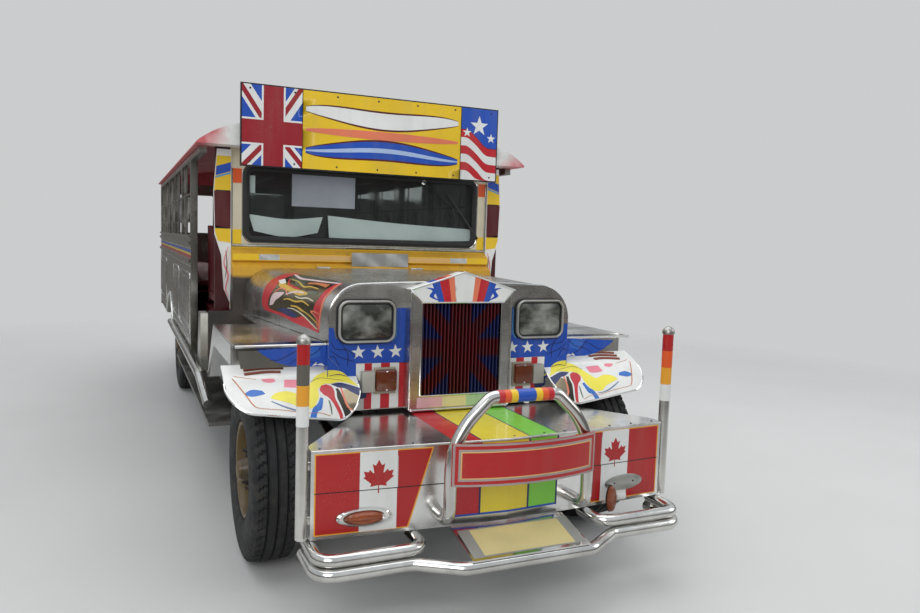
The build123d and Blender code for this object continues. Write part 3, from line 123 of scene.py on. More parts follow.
def paint_prop(name, description, *chip):
    """A colour that a user may change."""
    return FloatVectorProperty(
        name=name, description=description, subtype="COLOR", size=3, min=0, max=1, default=srgb(*chip)
    )


class JeepneyPaints(bpy.types.PropertyGroup):
    """Enamels, metals and soft finishes."""

    red: paint_prop("Red", "Flag red of the bumper, posts and belt line", 176, 22, 24)
    garnet: paint_prop("Garnet", "Darker red of the sign's cross", 152, 22, 34)
    canary: paint_prop("Canary", "Lighter yellow of the bumper's stripe", 226, 206, 56)
    crimson: paint_prop("Crimson", "Red of the nose stripes and hood borders", 190, 26, 38)
    maroon: paint_prop("Maroon", "Dark red of the cab and wing plates", 84, 10, 18)
    orange: paint_prop("Orange", "Orange bands and pinstripes", 226, 88, 30)
    amber: paint_prop("Amber", "Amber bands", 232, 160, 40)
    yellow: paint_prop("Yellow", "Sign painter's yellow", 232, 192, 30)
    lemon: paint_prop("Lemon", "Pale yellow of the nose flames", 240, 226, 74)
    ochre: paint_prop("Ochre", "Scuttle yellow", 208, 158, 46)
    tan: paint_prop("Tan", "Blank strip on the scuttle ledge", 222, 178, 110)
    pale_blue: paint_prop("Pale blue", "Inner line of the sign's blue ribbon", 168, 190, 224)
    green: paint_prop("Green", "Light green stripe", 126, 206, 66)
    blue: paint_prop("Blue", "Nose and sign blue", 24, 76, 176)
    navy: paint_prop("Navy", "Dark blue outlines", 22, 34, 92)
    sky: paint_prop("Sky", "Light blue accents", 80, 150, 206)
    azure: paint_prop("Azure", "Blue leaves on the flares", 34, 106, 190)
    sky_deep: paint_prop("Deep sky", "Scrolls' ground on the wings' fronts", 40, 98, 186)
    slate: paint_prop("Slate", "Grey-blue lines", 96, 122, 156)
    green_grey: paint_prop("Green grey", "Dull green patches", 74, 88, 70)
    blush: paint_prop("Blush", "Pinkish white swirls on the hood", 222, 196, 196)
    mustard: paint_prop("Mustard", "Yellow swirls on the hood", 206, 168, 56)
    rust_pale: paint_prop("Pale rust", "Orange-brown pinstripes", 190, 112, 62)
    white: paint_prop("White", "Gloss white", 228, 228, 224)
    cream: paint_prop("Cream", "Yellowed white of the windscreen frame", 214, 204, 178)
    pink: paint_prop("Pink", "Faded pink patches", 232, 130, 146)
    salmon: paint_prop("Salmon", "Ribbon on the sign, bands of the radiator cap", 226, 122, 88)
    black: paint_prop("Black", "Outlines and edges", 18, 18, 20)
    gold: paint_prop("Gold", "Wheel enamel", 90, 70, 27)
    rust: paint_prop("Rust", "Rust-red trim under the front wings", 128, 58, 34)
    rubber: paint_prop("Rubber", "Tyres and gaskets", 30, 30, 31)
    dust: paint_prop("Dust", "Road dust", 128, 120, 104)
    vinyl: paint_prop("Vinyl", "Bench covering", 120, 24, 32)


class JeepneySizes(bpy.types.PropertyGroup):
    """Sizes of the trim, and the photograph's camera."""

    wiper_length: FloatProperty(name="Wiper", description="Length of the wiper blade", default=0.36, unit="LENGTH")
    rivet_radius: FloatProperty(name="Rivet", description="Radius of a rivet head", default=0.005, unit="LENGTH")
    tread_depth: FloatProperty(name="Tread", description="Depth of the tread grooves", default=0.011, unit="LENGTH")
    tread_lugs: IntProperty(name="Tread lugs", description="Lugs round one tyre", default=54, min=20, max=90)
    focal_length: FloatProperty(name="Lens", description="Camera focal length in mm", default=29.61)
    camera_place: FloatVectorProperty(
        name="Camera", description="Where the camera stands", default=(-1.373, -5.553, 1.420), subtype="XYZ"
    )
    camera_turn: FloatVectorProperty(
        name="Camera turn", description="Yaw, pitch down and roll in degrees", default=(24.27, 5.15, -1.90)
    )


def paints():
    """The scene's colours."""
    return bpy.context.scene.jeepney_paints


def sizes():
    """The scene's sizes."""
    return bpy.context.scene.jeepney_sizes


def chip(name):
    """One of the scene's colours as linear light."""
    return tuple(getattr(paints(), name))


def xyz(x, y, z):
    """Points from three coordinates, each a number or an array."""
    return np.stack(np.broadcast_arrays(x, y, z), -1)


# Meshes


def grid_faces(rows, columns, wrap_rows=False, wrap_columns=False):
    """Quads of a grid of points numbered row by row."""
    r, c = np.meshgrid(
        np.arange(rows if wrap_rows else rows - 1),
        np.arange(columns if wrap_columns else columns - 1),
        indexing="ij",
    )
    r2, c2 = (r + 1) % rows, (c + 1) % columns
    quads = np.stack([r * columns + c, r2 * columns + c, r2 * columns + c2, r * columns + c2], -1)
    return quads.reshape(-1, 4)


def build(name, parts, body="root", crease=32.0, replaces=()):
    """One object from (points, faces, material) parts: doubles merged and faces turned outwards."""
    mesh = bpy.data.meshes.new(name)
    points, faces, marks, materials = [], [], [], []
    start = 0
    for part_points, part_faces, material in parts:
        part_points = np.asarray(part_points, float).reshape(-1, 3)
        if material not in materials:
            materials.append(material)
        shifted = [(np.asarray(block) + start).reshape(-1, np.shape(block)[-1]).tolist() for block in part_faces]
        for block in shifted:
            faces += block
            marks += [materials.index(material)] * len(block)
        points.append(part_points)
        start += len(part_points)
    mesh.from_pydata(np.concatenate(points).tolist(), [], faces)
    for material in materials:
        mesh.materials.append(material)
    mesh.polygons.foreach_set("material_index", marks)
    shape = bmesh.new()
    shape.from_mesh(mesh)
    bmesh.ops.remove_doubles(shape, verts=shape.verts, dist=1e-5)
    bmesh.ops.dissolve_degenerate(shape, edges=shape.edges, dist=1e-6)
    bmesh.ops.recalc_face_normals(shape, faces=shape.faces)
    shape.to_mesh(mesh)
    shape.free()
    mesh.polygons.foreach_set("use_smooth", [True] * len(mesh.polygons))
    mesh.set_sharp_from_angle(angle=math.radians(crease))
    piece = bpy.data.objects.new(name, mesh)
    bpy.context.scene.collection.objects.link(piece)
    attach(piece, body)
    if replaces:
        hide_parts(*replaces)
    return piece


def plate(outer, inner, material):
    """A closed skin between two grids of one shape: both faces and a wall round the edge."""
    rows, columns = outer.shape[:2]
    top = grid_faces(rows, columns)
    count = rows * columns
    rim = np.concatenate(
        [
            np.arange(columns),
            np.arange(2 * columns - 1, count, columns),
            np.arange(count - 2, count - columns - 1, -1),
            np.arange(count - 2 * columns, 0, -columns),
        ]
    )
    following = np.roll(rim, -1)
    wall = np.stack([rim, following, following + count, rim + count], -1)
    points = np.concatenate([outer.reshape(-1, 3), inner.reshape(-1, 3)])
    return points, [top, top[:, ::-1] + count, wall], material


def slab(back, front, material):
    """A closed slab between two outlines of one shape."""
    count = len(back)
    ring = np.arange(count)
    wall = np.stack([ring, np.roll(ring, -1), np.roll(ring, -1) + count, ring + count], -1)
    return np.concatenate([back, front]), [ring[None, ::-1], (ring + count)[None], wall], material


def tube(path, radius, material, sides=14, closed=False, flat=1.0, across=None):
    """A round bar along a path: circle points carried on each station's own cross directions."""
    path = np.asarray(path, float)
    count = len(path)
    if closed:
        along = np.roll(path, -1, 0) - np.roll(path, 1, 0)
    else:
        along = np.gradient(path, axis=0)
    along /= np.linalg.norm(along, axis=1, keepdims=True)
    if across is None:
        spread = np.linalg.eigh(np.cov((path - path.mean(0)).T))[1][:, 0]
        across = spread if abs(along @ spread).max() < 0.9 else np.array([0.31, 0.17, 0.93])
    side = np.cross(along, np.asarray(across, float))
    side /= np.linalg.norm(side, axis=1, keepdims=True)
    up = np.cross(side, along)
    turn = np.linspace(0, 2 * math.pi, sides, endpoint=False)
    radius = np.broadcast_to(np.asarray(radius, float), (count,))[:, None, None]
    ring = np.cos(turn)[None, :, None] * side[:, None] + flat * np.sin(turn)[None, :, None] * up[:, None]
    points = (path[:, None] + radius * ring).reshape(-1, 3)
    faces = [grid_faces(count, sides, wrap_rows=closed, wrap_columns=True)]
    if not closed:
        cap = np.arange(sides)
        faces += [cap[None, ::-1], (cap + (count - 1) * sides)[None]]
    return points, faces, material


def lathe(profile, centre, axis, material, steps=48, squash=(1, 1)):
    """A solid of revolution: (along, radius) rows swung about an axis, with both ends closed by discs."""
    profile = np.asarray(profile, float)
    axis = np.asarray(axis, float) / np.linalg.norm(axis)
    seed = np.array([0.0, 0.0, 1.0]) if abs(axis[2]) < 0.9 else np.array([1.0, 0.0, 0.0])
    side = np.cross(seed, axis)
    side /= np.linalg.norm(side)
    up = np.cross(axis, side)
    turn = np.linspace(0, 2 * math.pi, steps, endpoint=False)
    ring = squash[0] * np.cos(turn)[:, None] * side + squash[1] * np.sin(turn)[:, None] * up
    points = profile[:, 0, None, None] * axis + profile[:, 1, None, None] * ring[None]
    faces = [grid_faces(len(profile), steps, wrap_columns=True)]
    cap = np.arange(steps)
    faces += [cap[None, ::-1], (cap + (len(profile) - 1) * steps)[None]]
    return points.reshape(-1, 3) + np.asarray(centre, float), faces, material


def cushion_block(centre, half, radius, material, steps=4):
    """A box with rounded edges: a sphere of the edge radius pulled apart to the box's eight corners."""
    turn = (np.arange(4)[:, None] * 90 + np.linspace(0, 90, steps + 1)[None]).ravel() * math.pi / 180
    lift = np.concatenate([np.linspace(90, 0, steps + 1), np.linspace(0, -90, steps + 1)]) * math.pi / 180
    signs = np.array([(1, 1), (-1, 1), (-1, -1), (1, -1)]).repeat(steps + 1, 0)
    tops = np.array([1, -1]).repeat(steps + 1)
    normal = xyz(np.cos(lift)[:, None] * np.cos(turn), np.cos(lift)[:, None] * np.sin(turn), np.sin(lift)[:, None])
    corner = xyz(signs[:, 0], signs[:, 1], tops[:, None])
    points = np.asarray(centre) + corner * (np.asarray(half) - radius) + radius * normal
    columns = len(turn)
    faces = [grid_faces(len(lift), columns, wrap_columns=True)]
    cap = np.arange(columns)
    faces += [cap[None, ::-1], (cap + (len(lift) - 1) * columns)[None]]
    return points.reshape(-1, 3), faces, material


def domes(places, normal, radius, height, material, sides=8):
    """Many rivet heads: one low dome of two rings and a tip, copied to every place."""
    places = np.asarray(places, float).reshape(-1, 3)
    normal = np.asarray(normal, float) / np.linalg.norm(normal)
    seed = np.array([0.0, 0.0, 1.0]) if abs(normal[2]) < 0.9 else np.array([1.0, 0.0, 0.0])
    side = np.cross(seed, normal)
    side /= np.linalg.norm(side)
    up = np.cross(normal, side)
    turn = np.linspace(0, 2 * math.pi, sides, endpoint=False)[:, None]
    ring = np.cos(turn) * side + np.sin(turn) * up
    levels = [(-0.3 * height, 1.0), (0.45 * height, 0.9), (0.9 * height, 0.45)]
    one = np.concatenate([radius * wide * ring + rise * normal for rise, wide in levels])
    points = (places[:, None] + one[None]).reshape(-1, 3)
    quads = grid_faces(3, sides, wrap_columns=True)
    cap = np.arange(sides)
    step = np.arange(len(places))[:, None, None] * len(one)
    faces = [
        (quads[None] + step).reshape(-1, 4),
        (cap[None, None, ::-1] + step).reshape(-1, sides),
        (cap[None, None] + 2 * sides + step).reshape(-1, sides),
    ]
    return points, faces, material


# Lines and painted shapes


def curve(points, count=40):
    """A smooth line through the points: a cubic between each pair, sloped as its neighbours' chord."""
    p = np.asarray(points, float)
    p = np.vstack([2 * p[0] - p[1], p, 2 * p[-1] - p[-2]])
    s = np.linspace(0, len(p) - 3, count)
    i = np.minimum(s.astype(int), len(p) - 4)
    t = (s - i)[:, None]
    a, b, c, d = p[i], p[i + 1], p[i + 2], p[i + 3]
    return 0.5 * (2 * b + (c - a) * t + (2 * a - 5 * b + 4 * c - d) * t**2 + (3 * b - a - 3 * c + d) * t**3)


def bent(points, bend, steps=8):
    """Straight runs joined by arcs: each corner's arc starts bend * tan(half turn) before the corner."""
    p = np.asarray(points, float)
    line = [p[:1]]
    for before, corner, after in zip(p[:-2], p[1:-1], p[2:]):
        arrive = (corner - before) / np.linalg.norm(corner - before)
        leave = (after - corner) / np.linalg.norm(after - corner)
        turn = math.acos(float(np.clip(arrive @ leave, -1, 1)))
        inward = leave - arrive * math.cos(turn)
        inward /= np.linalg.norm(inward)
        start = corner - arrive * bend * math.tan(turn / 2)
        angle = np.linspace(0, turn, steps + 1)[:, None]
        line.append(start + bend * (np.sin(angle) * arrive + (1 - np.cos(angle)) * inward))
    line.append(p[-1:])
    return np.vstack(line)


def rounded_rectangle(half_wide, half_high, corner, steps=8):
    """Points of a rectangle with round corners about the origin, anticlockwise."""
    angle = np.radians(np.linspace(0, 90, steps + 1))
    arc = corner * np.stack([np.cos(angle), np.sin(angle)], -1)
    centre = np.array([half_wide - corner, half_high - corner])
    quarters = []
    for turn in range(4):
        c, s = round(math.cos(turn * math.pi / 2)), round(math.sin(turn * math.pi / 2))
        spin = np.array([[c, -s], [s, c]])
        sign = np.array([(1, 1), (-1, 1), (-1, -1), (1, -1)][turn])
        quarters.append(centre * sign + arc @ spin.T)
    return np.vstack(quarters)


def star(x, z, radius, points=5, inner=0.40, turn=90.0):
    """A star's outline: outer and inner radius by turns."""
    angle = np.radians(turn + np.arange(2 * points) * 180 / points)
    reach = np.where(np.arange(2 * points) % 2 == 0, radius, radius * inner)
    return np.stack([x + reach * np.cos(angle), z + reach * np.sin(angle)], -1)


def clip(outline, x=(-9, 9), z=(-9, 9)):
    """The part of an outline inside a rectangle, cut by one side at a time."""
    for axis, bound, sign in ((0, x[0], 1), (0, x[1], -1), (1, z[0], 1), (1, z[1], -1)):
        inside = sign * (outline[:, axis] - bound) >= 0
        kept = []
        for here, there, h, t in zip(outline, np.roll(outline, -1, 0), inside, np.roll(inside, -1)):
            if h:
                kept.append(here)
            if h != t:
                kept.append(here + (there - here) * (bound - here[axis]) / (there[axis] - here[axis]))
        outline = np.array(kept).reshape(-1, 2)
    return outline


MAPLE_HALF = (
    (0, 1), (0.17, 0.67), (0.21, 0.66), (0.375, 0.755), (0.273, 0.23), (0.33, 0.2), (0.54, 0.43),
    (0.59, 0.30), (0.63, 0.285), (0.9, 0.34), (0.807, 0.057), (0.824, 0.017), (0.93, -0.033),
    (0.46, -0.413), (0.45, -0.45), (0.507, -0.61), (0.078, -0.535), (0.022, -0.58), (0.045, -1.01),
)  # across and up from the leaf's middle


def maple_leaf(x, z, size):
    """A stylised maple leaf, its right half mirrored to the left."""
    half = np.array(MAPLE_HALF)
    whole = np.vstack([half, half[:0:-1] * (-1, 1)])
    return whole * size + (x, z)


class Panel:
    """Paint on one surface: place(u, v) gives points, and paint lies along the surface's own normal."""

    def __init__(self, place, outward, limit=None):
        self.place, self.limit = place, limit
        self.outward = np.asarray(outward, float)
        self.parts = []

    def lifted(self, uv, lift):
        """Points on the surface pushed out by lift: the normal is the cross product of both slopes."""
        uv = np.asarray(uv, float)
        if self.limit:
            uv = self.limit(uv)
        step = 1e-4
        here = self.place(uv[..., 0], uv[..., 1])
        normal = np.cross(
            self.place(uv[..., 0] + step, uv[..., 1]) - here, self.place(uv[..., 0], uv[..., 1] + step) - here
        )
        normal /= np.linalg.norm(normal, axis=-1, keepdims=True) + 1e-12
        normal *= np.sign(normal @ self.outward)[..., None]
        return here + normal * lift

    def shape(self, outline, material, lift=GROUND):
        """A flat painted shape inside an outline."""
        if len(outline) > 2:
            self.parts.append(slab(self.lifted(outline, -SUNK), self.lifted(outline, lift), paint(material)))

    def skin(self, uv, material, lift):
        """Paint over a grid of (u, v)."""
        self.parts.append(plate(self.lifted(uv, lift), self.lifted(uv, -SUNK), paint(material)))

    def band(self, first, second, material, lift=GROUND, count=40, across=6):
        """Paint between two lines: first + (second - first) * w for w from 0 to 1."""
        a, b = curve(first, count), curve(second, count)
        w = np.linspace(0, 1, across)[:, None, None]
        self.skin(a[None] + (b - a)[None] * w, material, lift)

    def stroke(self, points, width, material, lift=GROUND, taper=0.0, count=40):
        """A brush stroke along a line: width * (1 - taper + taper * sin(pi s)) across it."""
        line = curve(points, count)
        slope = np.gradient(line, axis=0)
        across = np.stack([-slope[:, 1], slope[:, 0]], -1)
        across /= np.linalg.norm(across, axis=1, keepdims=True) + 1e-12
        s = np.linspace(0, 1, count)
        reach = across * (0.5 * width * (1 - taper + taper * np.sin(np.pi * np.clip(s, 0.004, 0.996))))[:, None]
        self.skin(np.stack([line - reach, line, line + reach]), material, lift)

    def block(self, u, v, material, lift=GROUND):
        """A painted rectangle."""
        self.band([(u[0], v[0]), (u[0], v[1])], [(u[1], v[0]), (u[1], v[1])], material, lift, 12, 12)

    def paint_all(self, rows):
        """Bands and strokes from rows: colour, layer, then two lines, or one line with its width and taper."""
        for colour, lift, first, second, *taper in rows:
            if isinstance(second, float):
                self.stroke(first, second, colour, lift, *(taper or [0.4]))
            else:
                self.band(first, second, colour, lift, 36, 9)

    def done(self, name, body="root", slot=None):
        """The panel's paint as one object."""
        return build(name, self.parts, body, crease=50)


def front_panel(y, side=1):
    """Paint on a plane that faces forward: u across to one side, v up."""
    return Panel(lambda u, v: xyz(side * u, y, v), FORWARD)


def side_panel(x, side):
    """Paint on an upright plane that faces outwards: u back, v up."""
    return Panel(lambda u, v: xyz(side * x, u, v), (side, 0, 0))


def span(side, start, end):
    """Two stations across, on one side and in rising order."""
    return sorted((side * start, side * end))


# Finishes


def put(tree, socket, value):
    """Links an output to a socket, or sets the socket's own value."""
    if isinstance(value, bpy.types.NodeSocket):
        tree.links.new(value, socket)
    elif socket.type == "RGBA" and len(value) == 3:
        socket.default_value = (*value, 1.0)
    else:
        socket.default_value = value


def add_node(tree, kind, inputs=(), **settings):
    """A new shader node with its settings, and its inputs by name or number."""
    node = tree.nodes.new("ShaderNode" + kind)
    for name, value in settings.items():
        setattr(node, name, value)
    for key, value in dict(inputs).items():
        put(tree, node.inputs[key], value)
    return node


class Finish:
    """One procedural material, built node by node around its shader."""

    def __init__(self, name):
        self.material = bpy.data.materials.new(name)
        self.material.use_nodes = True
        self.tree = self.material.node_tree
        self.shader = self.tree.nodes["Principled BSDF"]
        self.place = self.tree.nodes.new("ShaderNodeTexCoord").outputs["Object"]

    def set(self, **values):
        """Sets shader sockets by name, with _ for a space."""
        for name, value in values.items():
            put(self.tree, self.shader.inputs[name.replace("_", " ")], value)

    def node(self, kind, inputs, **settings):
        """A new node of the material."""
        return add_node(self.tree, kind, inputs, **settings)

    def noise(self, scale, detail=4.0, rough=0.5, stretch=None):
        """Cloudy noise from 0 to 1, also stretched."""
        place = self.node("Mapping", {"Vector": self.place, "Scale": stretch}).outputs[0] if stretch else self.place
        inputs = {"Vector": place, "Scale": scale, "Detail": detail, "Roughness": rough}
        return self.node("TexNoise", inputs).outputs["Fac"]

    def cells(self, scale):
        """Distance to the nearest of scattered points."""
        return self.node("TexVoronoi", {"Vector": self.place, "Scale": scale}).outputs["Distance"]

    def axis(self, name):
        """One Object coordinate."""
        return self.node("SeparateXYZ", {0: self.place}).outputs[name]

    def math(self, operation, first, second=0.0):
        """One arithmetic step."""
        return self.node("Math", {0: first, 1: second}, operation=operation).outputs[0]

    def ramp(self, value, start, end, first=0.0, second=1.0):
        """A value carried from one range to another, held at the ends."""
        return self.node("MapRange", dict(enumerate((value, start, end, first, second)))).outputs[0]

    def mix(self, share, first, second):
        """Two colours mixed."""
        return self.node("Mix", {0: share, 6: first, 7: second}, data_type="RGBA").outputs[2]

    def bump(self, height, distance=0.001, strength=1.0):
        """Small relief on the surface."""
        node = self.node("Bump", {"Strength": strength, "Distance": distance, "Height": height})
        put(self.tree, self.shader.inputs["Normal"], node.outputs[0])


finishes = {}


def finish(name=None):
    """Makes a finish once and keeps it by name: the name given here, or the first value of the call."""

    def wrap(make):
        def get(*values, **settings):
            own, rest = (name, values) if name else (values[0], values[1:])
            if own not in finishes:
                f = Finish(own)
                finishes[own] = f.material
                make(f, *rest, **settings)
            return finishes[own]

        get.__doc__ = make.__doc__
        return get

    return wrap


def shade(colour, share):
    """A colour made darker or lighter."""
    return tuple(min(1.0, c * share) for c in colour)


@finish()
def enamel(f, colour, rough=0.3, wear=0.5, bare=(0.42, 0.41, 0.38)):
    """Brushed enamel: sun-faded clouds, dust streaks that run down, fine chips to the metal."""
    cloud = f.noise(2.3, 5)
    faded = f.mix(f.ramp(cloud, 0.38, 0.72), shade(colour, 0.92), shade(colour, 1.10))
    streak = f.noise(16, 6, stretch=(1, 1, 0.12))
    dusty = f.mix(f.ramp(streak, 0.5, 0.85, 0, 0.34 * wear), faded, chip("dust"))
    speck = f.noise(240, 2)
    area = f.noise(5.5, 3)
    chips = f.math("MULTIPLY", f.ramp(speck, 0.66, 0.70), f.ramp(area, 0.52, 0.60))
    chips = f.math("MULTIPLY", chips, 0.8 * wear)
    f.set(Base_Color=f.mix(chips, dusty, bare), Metallic=f.math("MULTIPLY", chips, 0.7))
    f.set(Roughness=f.ramp(streak, 0.35, 0.8, rough, min(rough + 0.3, 0.9)), Coat_Weight=0.25, Coat_Roughness=0.12)
    f.bump(f.math("ADD", f.noise(60, 3), f.math("MULTIPLY", chips, -0.8)), 0.0006, 0.35)


def paint(name):
    """The enamel of one named colour; a material passes through."""
    return enamel("enamel_" + name, chip(name)) if isinstance(name, str) else name


@finish()
def steel(f, colour=(0.60, 0.59, 0.56), rough=(0.16, 0.42), brush=(1, 1, 40), dents=0.5, dirt=0.5):
    """Stainless sheet: fine brush lines, smudges, water marks and shallow dents."""
    lines = f.noise(30, 3, stretch=brush)
    smudge = f.noise(5, 7, 0.6)
    runs = f.noise(18, 5, stretch=(1, 1, 0.1))
    tone = f.mix(f.ramp(smudge, 0.35, 0.7), shade(colour, 0.78), shade(colour, 1.12))
    tone = f.mix(f.ramp(runs, 0.52, 0.8, 0, 0.55 * dirt), tone, shade(chip("dust"), 0.55))
    f.set(Base_Color=tone, Metallic=1.0)
    f.set(
        Roughness=f.ramp(
            f.math("ADD", f.math("MULTIPLY", smudge, 0.7), f.math("MULTIPLY", lines, 0.3)), 0.3, 0.7, *rough
        )
    )
    relief = f.math("ADD", f.math("MULTIPLY", f.noise(2.6, 3), dents), f.math("MULTIPLY", lines, 0.012))
    f.bump(relief, 0.02, 0.35)


@finish()
def plain(f, colour, rough=0.5, metal=0.0, grain=120, relief=0.0004, tint=0.25, **extra):
    """A simple surface with its own grain: clouds in colour and roughness over a fine relief."""
    cloud = f.noise(grain * 0.06, 5)
    tone = f.mix(f.ramp(cloud, 0.3, 0.75), shade(colour, 1 - tint), shade(colour, 1 + tint))
    f.set(Base_Color=tone, Metallic=metal, **extra)
    f.set(Roughness=f.ramp(cloud, 0.3, 0.7, rough, min(1.0, rough + 0.18)))
    f.bump(f.noise(grain, 4), relief, 0.6)


@finish("window_glass")
def glazing(f):
    """Dark window glass with a film of dust."""
    film = f.noise(9, 6)
    f.set(Base_Color=f.mix(f.ramp(film, 0.4, 0.8, 0, 0.5), (0.085, 0.10, 0.098), (0.17, 0.18, 0.17)))
    f.set(Transmission_Weight=0.86, IOR=1.45, Roughness=f.ramp(film, 0.45, 0.8, 0.02, 0.16))


@finish()
def lens(f, colour, ribs=220.0, clear=0.6):
    """Moulded lamp plastic with upright ribs behind a gloss face."""
    dull = f.noise(40, 4)
    f.set(Base_Color=f.mix(f.ramp(dull, 0.3, 0.8), shade(colour, 0.75), colour), Transmission_Weight=clear, IOR=1.46)
    f.set(Roughness=f.ramp(dull, 0.3, 0.8, 0.08, 0.28), Coat_Weight=0.6, Coat_Roughness=0.05)
    wave = f.math("SINE", f.math("MULTIPLY", f.axis("X"), ribs * 2 * math.pi))
    f.bump(wave, 0.0008, 0.5)


@finish("tyre_rubber")
def rubber(f):
    """Tyre rubber: grey bloom, road dust low down and fine crazing."""
    base = chip("rubber")
    bloom = f.mix(f.ramp(f.noise(7, 6), 0.3, 0.75), shade(base, 0.8), shade(base, 1.35))
    tone = f.mix(f.ramp(f.noise(22, 7, 0.65), 0.5, 0.85, 0, 0.5), bloom, shade(chip("dust"), 0.36))
    f.set(Base_Color=tone, Roughness=f.ramp(f.noise(18, 4), 0.3, 0.7, 0.62, 0.92))
    f.bump(f.noise(260, 3), 0.0005, 0.5)


@finish()
def underbody(f, colour, rusty=0.5):
    """Chassis black with surface rust and caked dust."""
    tone = f.mix(f.ramp(f.noise(11, 7, 0.62), 0.5, 0.68, 0, rusty), colour, shade(chip("rust"), 0.5))
    tone = f.mix(f.ramp(f.noise(4, 6), 0.5, 0.85, 0, 0.6), tone, shade(chip("dust"), 0.45))
    f.set(Base_Color=tone, Roughness=f.ramp(f.noise(25, 4), 0.3, 0.7, 0.5, 0.88), Metallic=0.25)
    f.bump(f.noise(90, 5), 0.0012, 0.6)


@finish("slat_paint")
def slat_paint(f):
    """Grille slats: dark red with dark blue diagonal bars and a blue upright, worn to the metal at their edges."""
    middle = 0.937
    x = f.math("ABSOLUTE", f.axis("X"))
    z = f.math("ABSOLUTE", f.math("SUBTRACT", f.axis("Z"), middle))
    diagonal = f.math("ABSOLUTE", f.math("SUBTRACT", f.math("MULTIPLY", x, 1.08), z))
    blue = f.ramp(diagonal, 0.045, 0.055, 0, 1)
    upright = f.ramp(x, 0.045, 0.055, 0, 1)
    band = f.ramp(z, 0.035, 0.045, 0, 1)
    share = f.math("MULTIPLY", blue, f.math("MULTIPLY", upright, band))
    tone = f.mix(share, chip("maroon"), shade(chip("navy"), 0.9))
    tone = f.mix(f.ramp(f.noise(14, 5), 0.45, 0.8, 0, 0.6), tone, (0.02, 0.02, 0.025))
    f.set(Base_Color=tone, Roughness=0.36, Coat_Weight=0.2)
    f.bump(f.noise(80, 3), 0.0005, 0.4)


@finish("roof_paint")
def roof_paint(f):
    """Roof enamel: white over the visor, fading to pinkish red towards the rear."""
    cloud = f.math("MULTIPLY", f.noise(5, 5), 0.35)
    share = f.ramp(f.math("ADD", f.axis("Y"), cloud), -1.0, -0.55)
    wide = f.ramp(f.math("ADD", f.math("ABSOLUTE", f.axis("X")), cloud), 0.99, 1.13)
    share = f.math("MAXIMUM", share, wide)
    tone = f.mix(share, chip("white"), srgb(196, 92, 96))
    tone = f.mix(f.ramp(f.noise(3, 7, 0.6), 0.5, 0.85, 0, 0.5), tone, srgb(214, 170, 164))
    tone = f.mix(f.ramp(f.noise(9, 6, stretch=(0.3, 1, 1)), 0.55, 0.85, 0, 0.5), tone, chip("dust"))
    f.set(Base_Color=tone, Roughness=f.ramp(f.noise(12, 4), 0.3, 0.7, 0.4, 0.7))
    f.bump(f.noise(40, 4), 0.001, 0.4)


@finish("tread_plate")
def tread_plate(f):
    """Floor plate with raised lozenges, dulled by shoes."""
    worn = f.noise(6, 6)
    f.set(Base_Color=f.mix(f.ramp(worn, 0.35, 0.7), (0.13, 0.125, 0.115), (0.33, 0.32, 0.30)), Metallic=0.8)
    f.set(Roughness=f.ramp(worn, 0.3, 0.7, 0.35, 0.65))
    one = f.math("SINE", f.math("MULTIPLY", f.math("ADD", f.axis("X"), f.axis("Y")), 130.0))
    other = f.math("SINE", f.math("MULTIPLY", f.math("SUBTRACT", f.axis("X"), f.axis("Y")), 260.0))
    f.bump(f.ramp(f.math("MULTIPLY", one, other), 0.45, 0.75), 0.002, 0.7)


@finish()
def vinyl(f, colour):
    """Seat vinyl: fine leather grain, shine worn into the middle."""
    worn = f.noise(5, 5)
    tone = f.mix(f.ramp(worn, 0.35, 0.7), shade(colour, 0.75), shade(colour, 1.15))
    f.set(Base_Color=tone, Roughness=f.ramp(worn, 0.3, 0.7, 0.34, 0.58), Sheen_Weight=0.1)
    f.bump(f.cells(420), 0.0007, 0.5)


def bright():
    """Polished tube: near mirror with scuffs."""
    return steel("polished_tube", (0.68, 0.67, 0.64), (0.07, 0.30), (6, 6, 6), 0.15, 0.35)


def chrome():
    """Chrome plate."""
    return steel("chrome_plate", (0.74, 0.74, 0.72), (0.04, 0.16), (8, 8, 8), 0.05, 0.2)


def stainless():
    """Brushed sheet of the nose."""
    return steel("stainless_sheet")


def side_steel():
    """Dustier sheet of the body sides."""
    return steel("side_sheet", (0.44, 0.435, 0.39), (0.12, 0.32), (1, 40, 1), 0.7, 0.8)


def wing_steel_painted_sky():
    """Paler and duller sheet of the wings and the bumper's deck."""
    return steel("wing_sheet_painted_sky", (0.84, 0.84, 0.82), (0.13, 0.30), (8, 8, 8), 0.35, 0.12)


@finish("frame_paint")
def frame_paint(f):
    """Windscreen frame: yellowed white in front, and dull maroon on the door posts behind the wings."""
    out = f.ramp(f.math("ABSOLUTE", f.axis("X")), 0.803, 0.806)
    front = f.mix(f.ramp(f.noise(5, 5), 0.4, 0.75), chip("cream"), shade(chip("cream"), 0.82))
    front = f.mix(f.ramp(f.noise(18, 6, stretch=(1, 1, 0.15)), 0.55, 0.85, 0, 0.5), front, chip("dust"))
    f.set(
        Base_Color=f.mix(out, front, shade(chip("maroon"), 0.6)),
        Roughness=f.ramp(f.noise(14, 4), 0.3, 0.7, 0.3, 0.55)
    )
    f.bump(f.noise(60, 3), 0.0008, 0.4)


